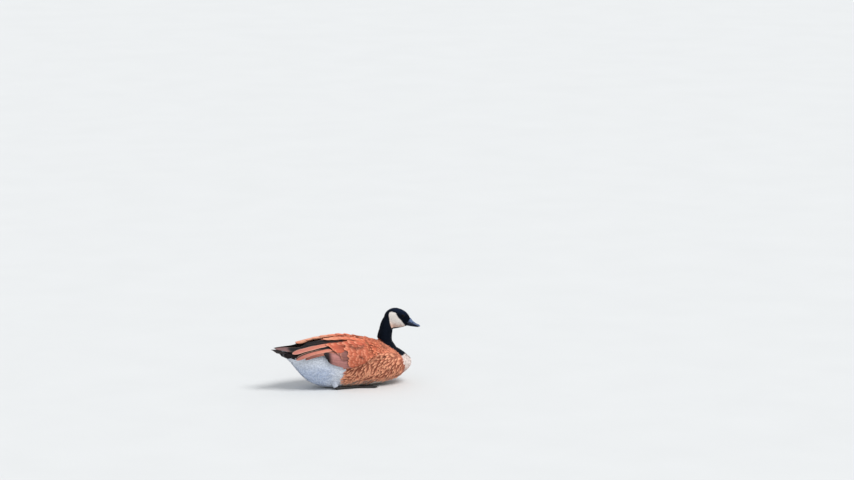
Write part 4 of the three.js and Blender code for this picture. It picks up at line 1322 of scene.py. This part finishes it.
def web(toe, other):
    """The skin between two toes, scooped at its front edge."""
    rows, columns = 24, 15
    s, t = np.meshgrid(np.linspace(0.05, 1, rows), np.linspace(0, 1, columns), indexing="ij")
    share = s * (0.86 - 0.17 * np.sin(math.pi * t))
    face = toe_line(toe, share) * (1 - t[..., None]) + toe_line(other, share) * t[..., None]
    points = np.stack([face, face])
    fold = 0.25 * np.sin(t * math.pi * 6) * s
    points[..., 2] = FLOOR + 1.7 + fold, FLOOR + 0.5 + fold * 0.5
    return points.reshape(-1, 3), slab_quads(rows, columns, -1)[:, ::-1], np.empty((0, 3), int)


def foot_parts():
    toes, claws = [], []
    for toe in TOES:
        path = toe_line(toe, (0, 0.2, 0.4, 0.6, 0.8, 0.93))
        sizes = [(toe[2] * k, toe[2] * k) for k in (1, 0.86, 0.82, 0.7, 0.62, 0.4)]
        toes.append(tube(path, sizes, 60, 16, 0.09))
        way = unit(path[-1] - path[-2])
        hook = [path[-1] + way * ahead + (0, 0, up) for ahead, up in CLAW_STEPS]
        claws.append(tube(hook, CLAW_SIZES, 16, 12))
    toes.append(tube(FOOT_AT + HIND_TOE, [(2.6, 2.6), (2, 2), (1, 1)], 14, 12, 0.09))
    webs = [web(toe, other) for toe, other in zip(TOES, TOES[1:])]
    return merged(toes + webs), merged(claws)


def limb_piece(name, parts, side, material, *nodes):
    points, quads, caps = parts
    points[:, 2] = np.maximum(points[:, 2], FLOOR + 0.2)
    quads, caps = (faces[:, :: int(side[1])] for faces in (quads, caps))
    finish(mesh_piece(name, placed(points * side), quads, triangles=caps), material, "leg", *nodes)


def scaly_paint():
    paint = Paint("black webbed skin", Roughness=0.5)
    cells = {"Vector": paint.node("ShaderNodeTexCoord", out=3), "Scale": 620.0}
    seam = paint.node("ShaderNodeTexVoronoi", {"feature": "DISTANCE_TO_EDGE"}, cells).step(0.0, 0.22)
    grime = paint.noise(90.0, 4.0)
    colour = paint.mix(grime, rgb(20, 19, 20), rgb(42, 38, 36))
    paint.put("Base Color", paint.mix(seam, rgb(9, 9, 10), colour))
    paint.put("Roughness", grime * 0.2 + 0.4)
    paint.bump(seam, 0.5, 0.0005)
    return paint.material


def claw_paint():
    paint = Paint("black claw horn", Roughness=0.3)
    paint.put("Base Color", paint.mix(paint.noise(400.0), rgb(14, 13, 14), rgb(46, 42, 42)))
    return paint.material


def thigh_feathers(rng):
    sleeve = Sleeve(SHANK[:3], THIGH_SIZES)
    # The thigh's white feathers, darkened and with blue-shaded fringes: painted shade under the belly.
    down = fringed(np.array(SNOW) * 0.72, BLUE_SHADE, 0.5, 0.7)
    for row in range(6):
        u, turn = 0.04 + 0.09 * row, 0.04 * (row % 2)
        roots, tips = ((u, turn), (u, 0.93 + turn)), ((u + 0.34, turn), (u + 0.34, 0.93 + turn))
        yield from row_of(
            sleeve, rng, 13, roots, tips, (4.4, 3.4), (-0.8, 1.0), 0.2, 0.01, down, broad_vane, 9, 5
        )


scaly, claw = scaly_paint(), claw_paint()
for side, word, seed in ((RIGHT, "right", 61), (LEFT, "left", 62)):
    toes, claws = foot_parts()
    limb_piece(f"shank_{word}", tube(SHANK, SHANK_SIZES, 70, 20, 0.05), side, scaly, f"leg_{word}")
    limb_piece(f"webbed_foot_{word}", toes, side, scaly, f"foot_{word}")
    limb_piece(f"claws_{word}", claws, side, claw)
    plates = list(thigh_feathers(np.random.default_rng(seed)))
    vanes_piece(f"thigh_feathers_{word}", plates, side, plumages["white"], "white")

size = {"cad_box": [list(corner) for corner in cad_box]}
size["visual_box"] = [list(corner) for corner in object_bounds()]
